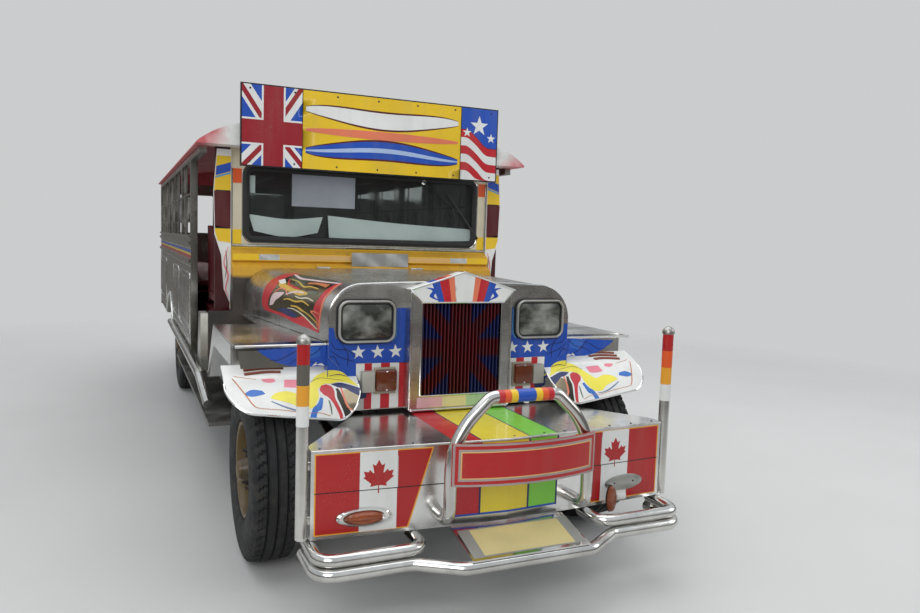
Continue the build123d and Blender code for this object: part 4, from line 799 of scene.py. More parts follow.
@finish("cowl_paint")
def cowl_paint(f):
    """Scuttle: worn yellow along the top, dull black below the ledge beside the hood."""
    edge = f.math("ADD", f.axis("Z"), f.math("MULTIPLY", f.noise(6, 4), 0.03))
    upper = f.mix(f.ramp(f.noise(4, 5), 0.4, 0.75), chip("ochre"), shade(chip("ochre"), 0.72))
    upper = f.mix(f.ramp(f.noise(24, 6, stretch=(1, 1, 0.15)), 0.55, 0.85, 0, 0.5), upper, shade(chip("dust"), 0.6))
    lower = f.mix(f.ramp(f.noise(9, 5), 0.4, 0.7), (0.028, 0.022, 0.020), (0.060, 0.045, 0.036))
    f.set(
        Base_Color=f.mix(f.ramp(edge, 1.175, 1.195), lower, upper),
        Roughness=f.ramp(f.noise(14, 4), 0.3, 0.7, 0.3, 0.6)
    )
    f.bump(f.noise(60, 3), 0.0008, 0.4)


def hood_steel():
    """Stainless sheet of the hood: smoother, with large shallow dents."""
    return steel("hood_sheet", (0.60, 0.595, 0.57), (0.17, 0.34), (6, 6, 6), 0.35, 0.4)


@finish("headlamp_glass")
def headlamp_glass(f):
    """Smoky headlamp glass with large grey smudges over a dark bowl."""
    smudge = f.noise(7.5, 3, 0.5, stretch=(1, 1, 1.5))
    f.set(Base_Color=f.mix(f.ramp(smudge, 0.42, 0.66), (0.055, 0.058, 0.048), (0.36, 0.37, 0.33)))
    f.set(Transmission_Weight=f.ramp(smudge, 0.40, 0.62, 0.42, 0.10), IOR=1.45, Coat_Weight=0.5, Coat_Roughness=0.04)
    f.set(Roughness=f.ramp(smudge, 0.4, 0.65, 0.05, 0.24))
    f.bump(f.noise(30, 3), 0.0006, 0.4)


def black_rubber():
    """Gasket and wiper rubber."""
    return plain("gasket_rubber", chip("rubber"), 0.55, grain=200)


class JEEPNEY_OT_finishes(bpy.types.Operator):
    """Give every packed node its finish"""

    bl_idname = "jeepney.finishes"
    bl_label = "Finishes"

    def execute(self, context):
        black = (0.022, 0.022, 0.023)
        table = {
            underbody("chassis_black", black): (
                "frame_rails", "crossmembers", "leaf_springs", "fuel_tank", "rear_step",
            ),
            underbody("axle_iron", (0.045, 0.043, 0.04), 0.7): (
                "front_axle_beam", "knuckle_left", "knuckle_right", "tie_rod", "rear_axle", "engine_block",
                "propeller_shaft",
            ),
            underbody("exhaust_steel", (0.16, 0.13, 0.11), 0.9): ("exhaust_pipe",),
            rubber(): ("tyre_front_left", "tyre_front_right", "tyre_rear_left", "tyre_rear_right"),
            enamel("wheel_enamel", chip("gold"), 0.42, 1.0, (0.12, 0.08, 0.05)): (
                "rim_front_left", "rim_front_right", "rim_rear_left", "rim_rear_right",
            ),
            tread_plate(): ("floor_pan", "running_boards"),
            cowl_paint(): ("cowl",),
            frame_paint(): ("windscreen_frame",),
            glazing(): ("windscreen_glass",),
            paint("white"): ("pillar_wings",),
            roof_paint(): ("roof",),
            paint("black"): ("sign_board",),
            side_steel(): ("side_panels", "rear_panel"),
            steel("grille_iron", (0.30, 0.29, 0.27), (0.25, 0.5), (6, 6, 6), 0.1, 0.9): ("window_grilles",),
            stainless(): ("hood", "radiator_shell", "fascia", "fender_flares"),
            # Fender and deck steel, pale as a painted reflection of the sky.
            wing_steel_painted_sky(): ("front_fenders", "bumper_box"),
            slat_paint(): ("grille_slats",),
            chrome(): ("headlamps", "plate_bracket"),
            bright(): ("bumper_tubes", "guard_hoop", "marker_posts", "sill_tubes", "grab_rails"),
            paint("red"): ("name_board",),
            paint("maroon"): ("seat_boxes",),
            lens("red_lens", (0.55, 0.015, 0.02)): ("tail_lamps",),
            lens("amber_lens", (0.30, 0.055, 0.010)): ("signal_lamps", "bumper_lamps"),
            vinyl("bench_vinyl", chip("vinyl")): ("seat_cushions",),
            plain("dash_plastic", (0.035, 0.034, 0.034), 0.5, grain=300): (
                "dashboard", "steering_column", "steering_wheel",
            ),
        }
        for material, nodes in table.items():
            for node in nodes:
                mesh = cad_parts[node].data
                mesh.materials.clear()
                mesh.materials.append(material)
        missing = set(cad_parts) - {node for nodes in table.values() for node in nodes}
        if missing:
            raise RuntimeError(f"no finish for {sorted(missing)}")
        return {"FINISHED"}


# Sign and windscreen


def sign_flag(panel, x, z):
    """The right-hand field: blue ground, white and red diagonals, red cross edged with white."""
    panel.block(x, z, "blue", GROUND)
    centre = np.array([x[0] + 0.515 * (x[1] - x[0]), z[1] - 0.575 * (z[1] - z[0])])
    wide, tall = x[1] - x[0], z[1] - z[0]
    for corner in ((x[0], z[0]), (x[1], z[0]), (x[1], z[1]), (x[0], z[1])):
        way = np.array(corner) - centre
        reach = np.linalg.norm(way)
        way /= reach
        across = np.array([-way[1], way[0]])
        for half, name, lift, shift in ((0.038, "white", SECOND, 0.0), (0.013, "garnet", THIRD, 0.008)):
            outline = np.array(
                [
                    centre + way * (reach * 1.3 * a) + across * (half * b + shift)
                    for a, b in ((0, -1), (1, -1), (1, 1), (0, 1))
                ]
            )
            panel.shape(clip(outline, x, z), paint(name), lift)
    for grow, name, lift in ((0.010, "white", THIRD + 0.0003), (0.0, "garnet", THIRD + 0.0006)):
        a0, a1 = x[0] + .35 * wide - grow, x[0] + .68 * wide + grow
        b0, b1 = z[1] - .72 * tall - grow, z[1] - .43 * tall + grow
        panel.shape(
            [
                (a0, z[0]), (a1, z[0]), (a1, b0), (x[1], b0), (x[1], b1), (a1, b1), (a1, z[1]), (a0, z[1]), (a0, b1),
                (x[0], b1), (x[0], b0), (a0, b0)
            ], paint(name), lift
        )


def sign_middle(panel, x, z):
    """The middle field, blank of writing: yellow, crossed by a white, a salmon and a blue ribbon.

    A ribbon's middle line is height + swing * cos(2 pi s), and its half width falls to the tips as
    half * sin(pi s) ** 0.5; the white and the blue one lie on a wider maroon ribbon.
    """
    panel.block(x, z, "yellow", GROUND)
    wide, tall = x[1] - x[0], z[1] - z[0]
    s = np.linspace(0.02, 0.98, 25)

    def ribbon(height, swing, half, colour, lift):
        middle = z[0] + (height + swing * np.cos(2 * np.pi * s)) * tall
        reach = half * tall * np.sqrt(np.sin(np.pi * s))
        across = x[0] + s * wide
        panel.band(
            np.stack([across, middle - reach], -1), np.stack([across, middle + reach], -1), colour, lift, 60, 3
        )

    for height, swing, half, colour in ((.73, .035, .105, "white"), (.27, -.035, .115, "blue")):
        ribbon(height, swing, half + .025, "maroon", SECOND)
        ribbon(height, swing, half, colour, THIRD)
    ribbon(.27, -.035, .03, "pale_blue", FOURTH)
    ribbon(.50, 0.0, .055, "salmon", FOURTH)


def sign_stripes(panel, x, z):
    """The left-hand field: blue with one large and two small stars over waving red and white stripes."""
    panel.block(x, z, "white", GROUND)
    wide, tall = x[1] - x[0], z[1] - z[0]

    def wave(height):
        share = np.array([0.0, 0.2, 0.45, 0.7, 1.0])
        rise = np.array([0.02, 0.05, 0.0, -0.07, -0.03])
        fall = 0.20 * (0.5 - share)
        return np.stack([x[0] + share * wide, np.clip(z[0] + (height + rise + fall) * tall, *z)], -1)

    panel.band(wave(0.58), np.stack([wave(0.58)[:, 0], np.full(5, z[1])], -1), "blue", SECOND, 30, 3)
    for base in (0.47, 0.24, 0.01):
        panel.band(wave(base), wave(base + 0.115), "crimson", SECOND, 30, 3)
    for sx, sz, size in ((0.50, 0.76, 0.062), (0.17, 0.66, 0.030), (0.84, 0.60, 0.030)):
        panel.shape(star(x[0] + sx * wide, z[0] + sz * tall, size), "white", THIRD)


class JEEPNEY_OT_sign(bpy.types.Operator):
    """Paint and edge the board over the windscreen"""

    bl_idname = "jeepney.sign"
    bl_label = "Sign board"

    def execute(self, context):
        first, last = low("sign_board"), high("sign_board")
        edge = 0.007
        z = (first.z + edge, last.z - edge)
        x = (first.x + edge, first.x + 0.335, last.x - 0.250, last.x - edge)
        panel = front_panel(SIGN_Y)
        sign_flag(panel, x[0:2], z)
        sign_middle(panel, x[1:3], z)
        sign_stripes(panel, x[2:4], z)
        for seam in x[1:3]:
            panel.block((seam - 0.002, seam + 0.002), z, "black", FOURTH)
        panel.done("sign_paint", slot="sign_yellow")
        heads = [
            (px, SIGN_Y, pz) for px in np.linspace(first.x + 0.05, last.x - 0.05, 7)
            for pz in (z[0] + 0.02, z[1] - 0.02)
        ]
        build("sign_screws", [domes(heads, FORWARD, 0.006, 0.004, paint("black"))])
        back = last.y + 0.002
        frame_bar = plain("sign_timber", (0.30, 0.26, 0.20), 0.7, grain=60)
        bars = [
            cushion_block((px, back + 0.010, (z[0] + z[1]) / 2), (0.018, 0.010, 0.20), 0.003, frame_bar, 2)
            for px in (-0.60, 0.0, 0.60)
        ]
        build("sign_battens", bars)
        return {"FINISHED"}


def ring_on_front(outline, y, radius, material, flat=1.0):
    """A closed bead along an outline of (x, z) points on a forward-facing plane."""
    path = xyz(outline[:, 0], y, outline[:, 1])
    return tube(path, radius, material, 10, closed=True, flat=flat, across=BACK)


class JEEPNEY_OT_windscreen(bpy.types.Operator):
    """Gasket, wiper, blank cards, frame lip and ledge round the windscreen"""

    bl_idname = "jeepney.windscreen"
    bl_label = "Windscreen"

    def execute(self, context):
        pane_low, pane_high = low("windscreen_glass"), high("windscreen_glass")
        centre = np.array([0.0, (pane_low.z + pane_high.z) / 2])
        half_x, half_z = pane_high.x, (pane_high.z - pane_low.z) / 2
        outline = rounded_rectangle(half_x - 0.012, half_z - 0.012, 0.045) + centre
        gasket = ring_on_front(outline, SCREEN_Y + 0.003, 0.019, black_rubber(), 0.8)
        outer = rounded_rectangle(half_x + 0.008, half_z + 0.008, 0.055) + centre
        bead = ring_on_front(outer, SCREEN_Y, 0.005, chrome())
        build("screen_gasket", [gasket, bead])
        panel = front_panel(SCREEN_Y)
        for side in (LEFT, RIGHT):
            x = span(side, half_x + 0.014, 0.798)
            panel.block(x, (1.690, 1.772), "orange")
            panel.block(x, (1.332, 1.43), "yellow")
        panel.block((-SCREEN_FRAME_HALF, SCREEN_FRAME_HALF), (1.314, 1.330), "yellow")
        panel.done("pillar_patches", slot="frame_cream")
        lip = xyz(np.linspace(-SCREEN_FRAME_HALF, SCREEN_FRAME_HALF, 20), SCREEN_Y - .002, 1.340)
        side_lips = [xyz(side * SCREEN_FRAME_HALF, SCREEN_Y, np.linspace(1.34, 1.77, 8)) for side in (LEFT, RIGHT)]
        build(
            "screen_lip",
            [tube(lip, .009, side_steel(), 10, across=UP)] + [
                tube(p, .005, side_steel(), 10, across=BACK) for p in side_lips
            ]
        )
        self.cards(pane_low, pane_high)
        pivot = np.array([0.36, SCREEN_Y - 0.012, pane_high.z - 0.03])
        tip = pivot + (0.27, 0.0, -0.20)
        arm = tube(np.linspace(pivot, tip, 8), np.linspace(0.0055, 0.003, 8), black_rubber(), 8)
        way = np.array([0.62, 0.0, -0.78])
        blade_mid = tip + (0, 0.004, 0)
        length = sizes().wiper_length
        ends = np.linspace(blade_mid - way * length / 2, blade_mid + way * length / 2, 10)
        blade = tube(ends, 0.005, black_rubber(), 6, flat=1.6)
        boss = lathe([(-0.002, 0.016), (0.008, 0.016), (0.014, 0.008)], pivot + (0, 0.010, 0), FORWARD, chrome(), 20)
        build("wiper", [arm, blade, boss])
        ledge_y = low("cowl").y + 0.0445
        ledge = front_panel(ledge_y)
        ledge.block((-SCREEN_FRAME_HALF, SCREEN_FRAME_HALF), (1.257, 1.294), "yellow", GROUND)
        ledge.block((-0.53, 0.53), (1.260, 1.291), "tan", SECOND)
        silver = plain("reflector_tape", (0.58, 0.60, 0.60), 0.3, metal=0.4, grain=400)
        for side in (LEFT, RIGHT):
            ledge.block(span(side, 0.535, 0.65), (1.260, 1.292), silver, SECOND)
        ledge.done("ledge_paint", slot="cowl_yellow")
        xx, zz = np.meshgrid(np.linspace(-0.112, 0.246, 28), np.linspace(1.232, 1.312, 12))
        bow = 0.004 * np.sin(xx * 9 + 1) + 0.003 * np.sin(xx * 31 + zz * 40) + 0.10 * (zz - 1.27)
        face = xyz(xx, -1.163 + bow, zz)
        blank = plate(
            face, face + (0, 0.0015, 0), steel("blank_plate", (0.50, 0.50, 0.48), (0.3, 0.5), (30, 1, 1), 0.6, 0.6)
        )
        build("ledge_plate", [blank])
        return {"FINISHED"}

    def cards(self, pane_low, pane_high):
        """Blank paper cards and pale film bands, flat on the glass."""
        inside = front_panel(pane_low.y)
        card = plain("paper_card", (0.30, 0.32, 0.36), 0.5, grain=60)
        film = plain("pale_film", (0.40, 0.48, 0.45), 0.45, grain=40)
        inside.block((-0.455, -0.075), (pane_high.z - 0.215, pane_high.z - 0.012), card)
        inside.block((-0.745, -0.665), (pane_high.z - 0.150, pane_high.z - 0.052), film, SECOND)
        foot = pane_low.z + 0.028
        inside.band(
            [(-.67, foot + .03), (-.48, foot), (-.30, foot + .03)],
            [(-.70, foot + .125), (-.48, foot + .105), (-.27, foot + .125)], film, SECOND, 20, 4
        )
        inside.band(
            [(-.23, foot + .005), (.20, foot - .004), (.70, foot + .01)],
            [(-.24, foot + .135), (.20, foot + .105), (.71, foot + .085)], film, SECOND, 20, 4
        )
        inside.done("screen_cards", slot="frame_cream")


class JEEPNEY_OT_wings(bpy.types.Operator):
    """Paint the plates beside the windscreen"""

    bl_idname = "jeepney.wings"
    bl_label = "Pillar wings"

    def execute(self, context):
        outline = np.array(
            [(0.803, 1.869), (0.876, 1.869), (0.893, 1.640), (0.887, 1.401), (0.849, 1.281), (0.835, 1.091),
             (0.805, 1.016), (0.803, 1.182)]
        )  # x and z of the plate's edge
        # colour, foot and head at the inner edge, rise towards the outer edge, layer
        rows = [
            ("yellow", 1.700, 1.835, 0.0, GROUND), ("blue", 1.752, 1.802, -0.03, SECOND),
            ("sky", 1.738, 1.748, -0.03, SECOND), ("yellow", 1.630, 1.700, 0.0, GROUND),
            ("maroon", 1.434, 1.641, 0.0, SECOND), ("yellow", 1.352, 1.434, 0.012, SECOND),
        ]
        for side, name in SIDES:
            panel = front_panel(WING_Y, side)
            for colour, foot, head, rise, lift in rows:
                piece = clip(outline, z=(foot, head))
                sheared = piece + np.stack([np.zeros(len(piece)), (piece[:, 0] - 0.803) / 0.09 * rise], -1)
                panel.shape(sheared, colour, lift)
            for z in (1.642, 1.434):
                panel.stroke([(0.805, z), (0.885, z)], 0.006, "black", THIRD, 0, 8)
            panel.stroke(
                [(0.815, 1.33), (0.838, 1.24), (0.815, 1.17), (0.828, 1.09), (0.812, 1.04)], 0.009, "pink", SECOND,
                0.7
            )
            panel.stroke([(0.828, 1.31), (0.822, 1.22), (0.832, 1.15)], 0.005, "maroon", THIRD, 0.7)
            panel.done(f"wing_paint_{name}", slot="wing_paint")
        return {"FINISHED"}


# Nose


def hood_place(side, sheet=0.0):
    """Points of the hood's skin: u from its front edge back, v from the foot of its side up to its middle.

    Each section is an upright for v up to 0.33, a quarter circle up to 0.62 and a crown up to 1, and straight
    rulings join the front section to the rear one: across = shoulder * (1 - in) + radius * cos(turn) and
    height = foot + (middle - foot) * rise + radius * sin(turn) + 10 mm * (1 - (1 - in)^2).
    """
    front_y, rear_y = FASCIA_Y + 0.022, AXLE_FRONT + 1.054
    top, foot = 1.212, low("hood").z

    def section(v, half, shoulder):
        radius = half - shoulder
        middle = top - radius
        turn = np.clip((v - 0.33) / 0.29, 0, 1) * math.pi / 2
        share = 1 - np.clip((v - 0.62) / 0.38, 0, 1)
        across = shoulder * share + (radius - sheet) * np.cos(turn)
        rise = foot + (middle - foot) * np.clip(v / 0.33, -0.2, 1)
        return across, rise + (radius - sheet) * np.sin(turn) + 0.010 * (1 - share**2)

    def place(u, v):
        x0, z0 = section(v, 0.574, 0.430)
        x1, z1 = section(v, high("hood").x, 0.590)
        return xyz(side * (x0 + (x1 - x0) * u), front_y + (rear_y - front_y) * u, z0 + (z1 - z0) * u)

    return place


class JEEPNEY_OT_hood(bpy.types.Operator):
    """The hood's skin with the flourish on each shoulder, its bead and hinges"""

    bl_idname = "jeepney.hood"
    bl_label = "Hood"

    def execute(self, context):
        u, v = np.meshgrid(np.linspace(0, 1, 26), np.linspace(0, 1, 50), indexing="ij")
        skins = []
        for sheet in (0.0, 0.008):
            right, left = hood_place(RIGHT, sheet)(u, v), hood_place(LEFT, sheet)(u, v)
            skins.append(np.concatenate([right, left[:, -2::-1]], 1))
        parts = [plate(*skins, hood_steel())]
        for side in (LEFT, RIGHT):
            barrel = xyz(side * np.linspace(0.25, 0.33, 6), AXLE_FRONT + 1.053, 1.222)
            parts.append(tube(barrel, 0.006, hood_steel(), 12, across=UP))
        build("hood_skin", parts, "hood", 40, ("hood",))
        lacquer = steel("hood_lacquer", (0.26, 0.215, 0.11), (0.10, 0.28), (8, 8, 8), 0.5, 0.7)
        # colour, layer, first line and second line, or the line's width; each point is (u, v)
        rows = [
            (
                lacquer, GROUND,
                [(.112, .14), (.122, .284), (.146, .36), (.14, .42), (.133, .468), (.129, .502), (.12, .57)],
                [(.30, .20), (.47, .21), (.63, .22), (.66, .30), (.64, .41), (.63, .49), (.59, .60)]
            ),
            (
                "crimson", SECOND,
                [
                    (.090, .085), (.14, .098), (.19, .104), (.279, .113), (.35, .125), (.43, .150), (.52, .168),
                    (.62, .172), (.70, .19), (.73, .28), (.734, .40), (.728, .47), (.713, .51), (.695, .56),
                    (.66, .62)
                ],
                [
                    (.104, .125), (.15, .175), (.20, .225), (.255, .258), (.312, .210), (.388, .190), (.468, .215),
                    (.552, .216), (.618, .228), (.653, .279), (.645, .357), (.618, .43), (.624, .475), (.608, .52),
                    (.58, .60)
                ]
            ),
            (
                "crimson", SECOND,
                [
                    (.093, .10), (.089, .27), (.083, .351), (.084, .397), (.088, .433), (.084, .461), (.089, .50),
                    (.10, .57)
                ],
                [
                    (.118, .18), (.122, .284), (.148, .348), (.148, .382), (.136, .42), (.133, .468), (.129, .502),
                    (.122, .575)
                ]
            ),
            (
                "navy", THIRD, [(.53, .245), (.48, .226), (.399, .196), (.333, .200), (.310, .262)],
                [(.53, .250), (.504, .284), (.423, .307), (.356, .280), (.312, .266)]
            ),
            (
                "blush", THIRD, [(.60, .30), (.567, .348), (.518, .379), (.491, .405)],
                [(.632, .285), (.62, .36), (.59, .398), (.495, .414)]
            ),
            (
                "mustard", THIRD, [(.61, .460), (.553, .434), (.487, .428), (.415, .422), (.33, .414), (.262, .424)],
                [(.606, .468), (.569, .473), (.497, .462), (.415, .450), (.326, .448), (.258, .440)]
            ),
            ("white", FOURTH, [(.637, .480), (.585, .463), (.544, .475)], [(.637, .486), (.60, .506), (.546, .480)]),
            ("blush", FOURTH, [(.465, .403), (.415, .422), (.36, .434), (.295, .436)], 0.012),
            ("blush", THIRD, [(.60, .575), (.469, .540), (.374, .542), (.234, .549), (.110, .560)], 0.016, 0.1),
            (
                "green_grey", THIRD, [(.471, .498), (.42, .479), (.357, .472)],
                [(.471, .502), (.426, .508), (.358, .498)]
            ),
            (
                "cream", FOURTH, [(.111, .130), (.169, .193), (.229, .254), (.292, .303), (.356, .326), (.415, .319)],
                0.017, 0.5
            ),
            (
                "mustard", FOURTH, [(.098, .197), (.151, .258), (.21, .313), (.261, .332), (.315, .346), (.38, .345)],
                0.013, 0.5
            ), ("salmon", FOURTH, [(.094, .24), (.142, .319), (.171, .341), (.133, .344), (.095, .338)], 0.008),
            ("mustard", FOURTH, [(.20, .37), (.27, .385), (.34, .375), (.42, .38), (.47, .37)], 0.010),
            ("mustard", FOURTH, [(.20, .48), (.28, .485), (.34, .475), (.44, .505), (.53, .515)], 0.009),
            ("cream", FOURTH, [(.17, .40), (.24, .41), (.30, .40), (.36, .405)], 0.008),
            ("crimson", THIRD, [(.56, .52), (.50, .47), (.43, .46), (.36, .455)], 0.014),
            ("salmon", FOURTH, [(.60, .40), (.56, .43), (.50, .435), (.44, .40)], 0.009),
            ("green_grey", THIRD, [(.30, .40), (.25, .43), (.18, .44)], [(.30, .42), (.25, .455), (.18, .46)]),
            ("rust_pale", THIRD, [(.155, .50), (.25, .51), (.34, .50)], [(.155, .53), (.25, .53), (.34, .515)]),
            (
                "salmon", THIRD,
                [
                    (.093, .13), (.089, .27), (.083, .351), (.084, .397), (.088, .433), (.084, .461), (.089, .492),
                    (.10, .56)
                ], 0.011, 0.1
            ),
        ]
        for side, name in SIDES:
            panel = Panel(hood_place(side), (side * 0.6, -0.1, 0.7))
            panel.paint_all(rows)
            panel.done(f"hood_flourish_{name}", "hood", "stainless")
        v = np.linspace(0, 1, 40)
        right, left = (hood_place(side)(np.full(40, 0.006), v) for side in (RIGHT, LEFT))
        bead = tube(np.vstack([right, left[-2::-1]]), 0.004, chrome(), 8, across=BACK)
        build("hood_beads", [bead], "hood")
        return {"FINISHED"}


class JEEPNEY_OT_radiator(bpy.types.Operator):
    """Stripe the radiator cap, patch its lower bar and edge the grille"""

    bl_idname = "jeepney.radiator"
    bl_label = "Radiator"

    def execute(self, context):
        brow_y = SHELL_Y - 0.012
        peak, corner, foot = 1.273, 1.195, 1.141
        half, foot_half = 0.250, 0.195

        def brow(u, v):
            x = u * (foot_half + (half - foot_half) * v)
            return xyz(x, brow_y, foot + (corner - foot) * v + (peak - corner) * (1 - np.abs(u)) * v)

        def ridge(u, v):
            return xyz(u * half, brow_y + v * (FASCIA_Y - brow_y), peak - (peak - corner) * np.abs(u))

        # colour and the two edges as shares of the half width
        stripes = [
            ("white", 0.62, 0.985), ("blue", 0.48, 0.62), ("crimson", 0.31, 0.48), ("salmon", 0.20, 0.31),
            ("white", -0.20, 0.20), ("salmon", -0.31, -0.20), ("crimson", -0.48, -0.31), ("blue", -0.62, -0.48),
            ("white", -0.985, -0.62)
        ]
        for surface, outward, name in ((brow, FORWARD, "cap_face_paint"), (ridge, UP, "cap_ridge_paint")):
            panel = Panel(surface, outward)
            for colour, start, end in stripes:
                panel.block((start, end), (0.02, 0.98), colour)
            if surface is brow:
                for side in (LEFT, RIGHT):
                    panel.stroke(
                        [(side * 0.60, 0.08), (side * 0.72, 0.35), (side * 0.62, 0.62), (side * 0.74, 0.86)], 0.10,
                        "blue", SECOND, 0.8
                    )
            panel.done(name, slot="stainless")
        bar = front_panel(SHELL_Y)
        faded = {"pink": (-0.205, -0.085), "lemon": (-0.085, 0.03), "green": (0.03, 0.16)}
        for name, x in faded.items():
            colour = tuple(0.45 * c + 0.30 for c in chip(name))
            bar.block(x, (0.680, 0.726), enamel("faded_" + name, colour, 0.45, 1.0))
        bar.done("shell_patches", slot="stainless")
        opening = rounded_rectangle(0.192, 0.206, 0.006, 3) + (0, 0.937)
        rim = rounded_rectangle(0.240, 0.262, 0.012, 3) + (0, 0.932)
        parts = [ring_on_front(opening, SHELL_Y, 0.004, chrome()), ring_on_front(rim, SHELL_Y, 0.005, chrome())]
        edge = np.array([(-half, corner), (0, peak), (half, corner), (foot_half, foot), (-foot_half, foot)])
        path = xyz(edge[:, 0], brow_y, edge[:, 1])
        parts.append(tube(np.vstack([path, path[:1]]), 0.004, chrome(), 8, across=BACK))
        build("shell_beads", parts)
        return {"FINISHED"}


def framed(outline, profile, y, material):
    """A ring of one section carried round a rounded rectangle: each (inset, ahead) row is the outline moved in."""
    x, z, half_wide, half_high, corner = outline
    rows = [
        xyz(x + r[:, 0], y - ahead, z + r[:, 1])
        for inset, ahead in profile
        for r in [rounded_rectangle(half_wide - inset, half_high - inset, max(corner - inset, 0.006), 8)]
    ]
    return np.concatenate(rows), [grid_faces(len(rows), len(rows[0]), True, True)], material


class JEEPNEY_OT_lamps(bpy.types.Operator):
    """Headlamps, amber repeaters, oval lamps and tail lamps"""

    bl_idname = "jeepney.lamps"
    bl_label = "Lamps"

    def execute(self, context):
        black, cream_ring = black_rubber(), plain("lamp_ring", (0.50, 0.49, 0.45), 0.22, metal=0.5, grain=30)
        bowl = plain("lamp_bowl", (0.035, 0.035, 0.03), 0.35, metal=0.4, grain=30)
        for side, name in SIDES:
            outline = (side * 0.420, 1.056, 0.131, 0.096, 0.048)
            parts = [
                framed(
                    outline,
                    [(0.0, -0.022), (0.0, 0.010), (0.002, 0.014), (0.006, 0.014), (0.009, 0.0), (0.009, -0.022)],
                    FASCIA_Y, black
                ),
                framed(
                    outline,
                    [(0.005, 0.0), (0.0055, 0.021), (0.0085, 0.026), (0.0125, 0.0255), (0.016, 0.020), (0.0165, 0.0)],
                    FASCIA_Y, cream_ring
                ),
                framed(
                    outline, [(0.016, -0.010), (0.0165, 0.019), (0.020, 0.020), (0.0235, 0.014), (0.024, -0.010)],
                    FASCIA_Y, black
                ),
            ]
            half_wide, half_high = 0.1180, 0.0830
            share = np.linspace(0, 1, 11)[::-1]
            rim = rounded_rectangle(half_wide - 0.010, half_high - 0.010, 0.024, 8)
            rings = [
                xyz(outline[0] + rim[:, 0] * s, FASCIA_Y - 0.012 - 0.009 * (1 - s**2), outline[1] + rim[:, 1] * s)
                for s in np.sqrt(share)
            ]
            rings = [rings[0] + (0, 0.004, 0)] + rings
            count = len(rim)
            cap = np.arange(count)
            glass = (
                np.concatenate(rings), [grid_faces(len(rings), count, wrap_columns=True), cap[None, ::-1]],
                headlamp_glass()
            )
            parts.append(
                cushion_block((outline[0], FASCIA_Y + 0.010, outline[1]), (0.112, 0.0175, 0.077), 0.006, bowl, 2)
            )
            build(f"headlamp_{name}", parts, replaces=("headlamps",) if side == LEFT else ())
            build(f"headlamp_lens_{name}", [glass])
        amber = lens("amber_lens", (0.30, 0.055, 0.010))
        box = low("signal_lamps"), high("signal_lamps")
        parts = []
        y0, y1, z0, z1 = box[0].y, box[1].y, box[0].z, box[1].z
        middle = (z0 + z1) / 2
        base = plain("lamp_base", (0.36, 0.33, 0.24), 0.45, grain=90)
        for side in (LEFT, RIGHT):
            parts.append(
                cushion_block(
                    (side * 0.335, (y0 + y1) / 2 - 0.001, middle + 0.004), (0.046, (y1 - y0) / 2 - 0.008, 0.047),
                    0.010, amber
                )
            )
            parts.append(
                cushion_block((side * 0.335, y1 - 0.008, middle), (0.049, 0.008, (z1 - z0) / 2), 0.004, base, 2)
            )
            parts.append(
                cushion_block(
                    (side * 0.4145, y1 - 0.018, middle), (0.0285, 0.018, 0.045), 0.004,
                    plain("bare_block", (0.40, 0.39, 0.34), 0.5, metal=0.3, grain=60), 2
                )
            )
            parts.append(
                domes(
                    [(side * 0.335, y0 + 0.007, middle + dz) for dz in (-0.036, 0.044)], FORWARD, 0.004, 0.0025,
                    chrome()
                )
            )
        build("signal_lamp_set", parts, replaces=("signal_lamps",))
        z, x = 0.403, 0.572
        y = valance_y(x)
        normal = np.array([-BUMPER_SLOPE, -1, 0])
        oval = (1.0, 0.34)
        seat = [(0.0, 0.104), (0.010, 0.102), (0.016, 0.092), (0.015, 0.078), (0.012, 0.074), (0.010, 0.070)]
        glass = [(0.008, 0.071), (0.018, 0.066), (0.024, 0.050), (0.027, 0.024), (0.0275, 0.004)]
        orange = lens("orange_lens", (0.62, 0.13, 0.03))
        right = [
            lathe(seat, (-x, y, z), normal, chrome(), 48, oval), lathe(glass, (-x, y, z), normal, orange, 48, oval)
        ]
        other = normal * (-1, 1, 1)
        bare = steel("bare_oval", (0.50, 0.50, 0.47), (0.3, 0.5), (6, 6, 6), 0.3, 0.8)
        left = [
            lathe([(0.0, 0.100), (0.004, 0.099), (0.005, 0.094)], (x, y, z + 0.010), other, bare, 48, oval),
            domes(
                [(x + dx, y + dx * BUMPER_SLOPE - 0.004, z + 0.010) for dx in (-0.05, 0.05)], other, 0.005, 0.003,
                paint("black")
            ),
        ]
        hang = (0.480, y - 0.050, z - 0.038)
        left.append(
            lathe(
                [(-0.012, 0.054), (0.000, 0.055), (0.010, 0.050), (0.013, 0.030), (0.0135, 0.004)], hang,
                (0.25, -1, 0), orange, 36, (0.40, 1.0)
            )
        )
        left.append(
            lathe([(-0.013, 0.046), (-0.012, 0.056), (-0.006, 0.057)], hang, (0.25, -1, 0), black, 36, (0.42, 1.0))
        )
        wire = bent(
            [(0.50, y - 0.008, z + 0.004), (0.487, y - 0.026, z + 0.004), (0.480, y - 0.042, z - 0.010)], 0.008, 5
        )
        left.append(tube(wire, 0.0035, black, 8))
        left.append(cushion_block((0.556, y - 0.010, z - 0.048), (0.022, 0.009, 0.011), 0.003, paint("white"), 2))
        build("bumper_lamp_set", right + left, replaces=("bumper_lamps",))
        tail = []
        red = lens("red_lens", (0.55, 0.015, 0.02))
        for side in (LEFT, RIGHT):
            tail.append(cushion_block((side * 0.880, REAR_Y + 0.012, 0.780), (0.055, 0.0135, 0.095), 0.010, red))
            tail.append(
                cushion_block((side * 0.880, REAR_Y + 0.014, 0.730), (0.046, 0.0118, 0.028), 0.006, orange, 3)
            )
            bezel = rounded_rectangle(0.052, 0.092, 0.014, 5) + (side * 0.880, 0.780)
            tail.append(ring_on_front(bezel, REAR_Y + 0.006, 0.005, chrome()))
        build("tail_lamp_set", tail, replaces=("tail_lamps",))
        return {"FINISHED"}


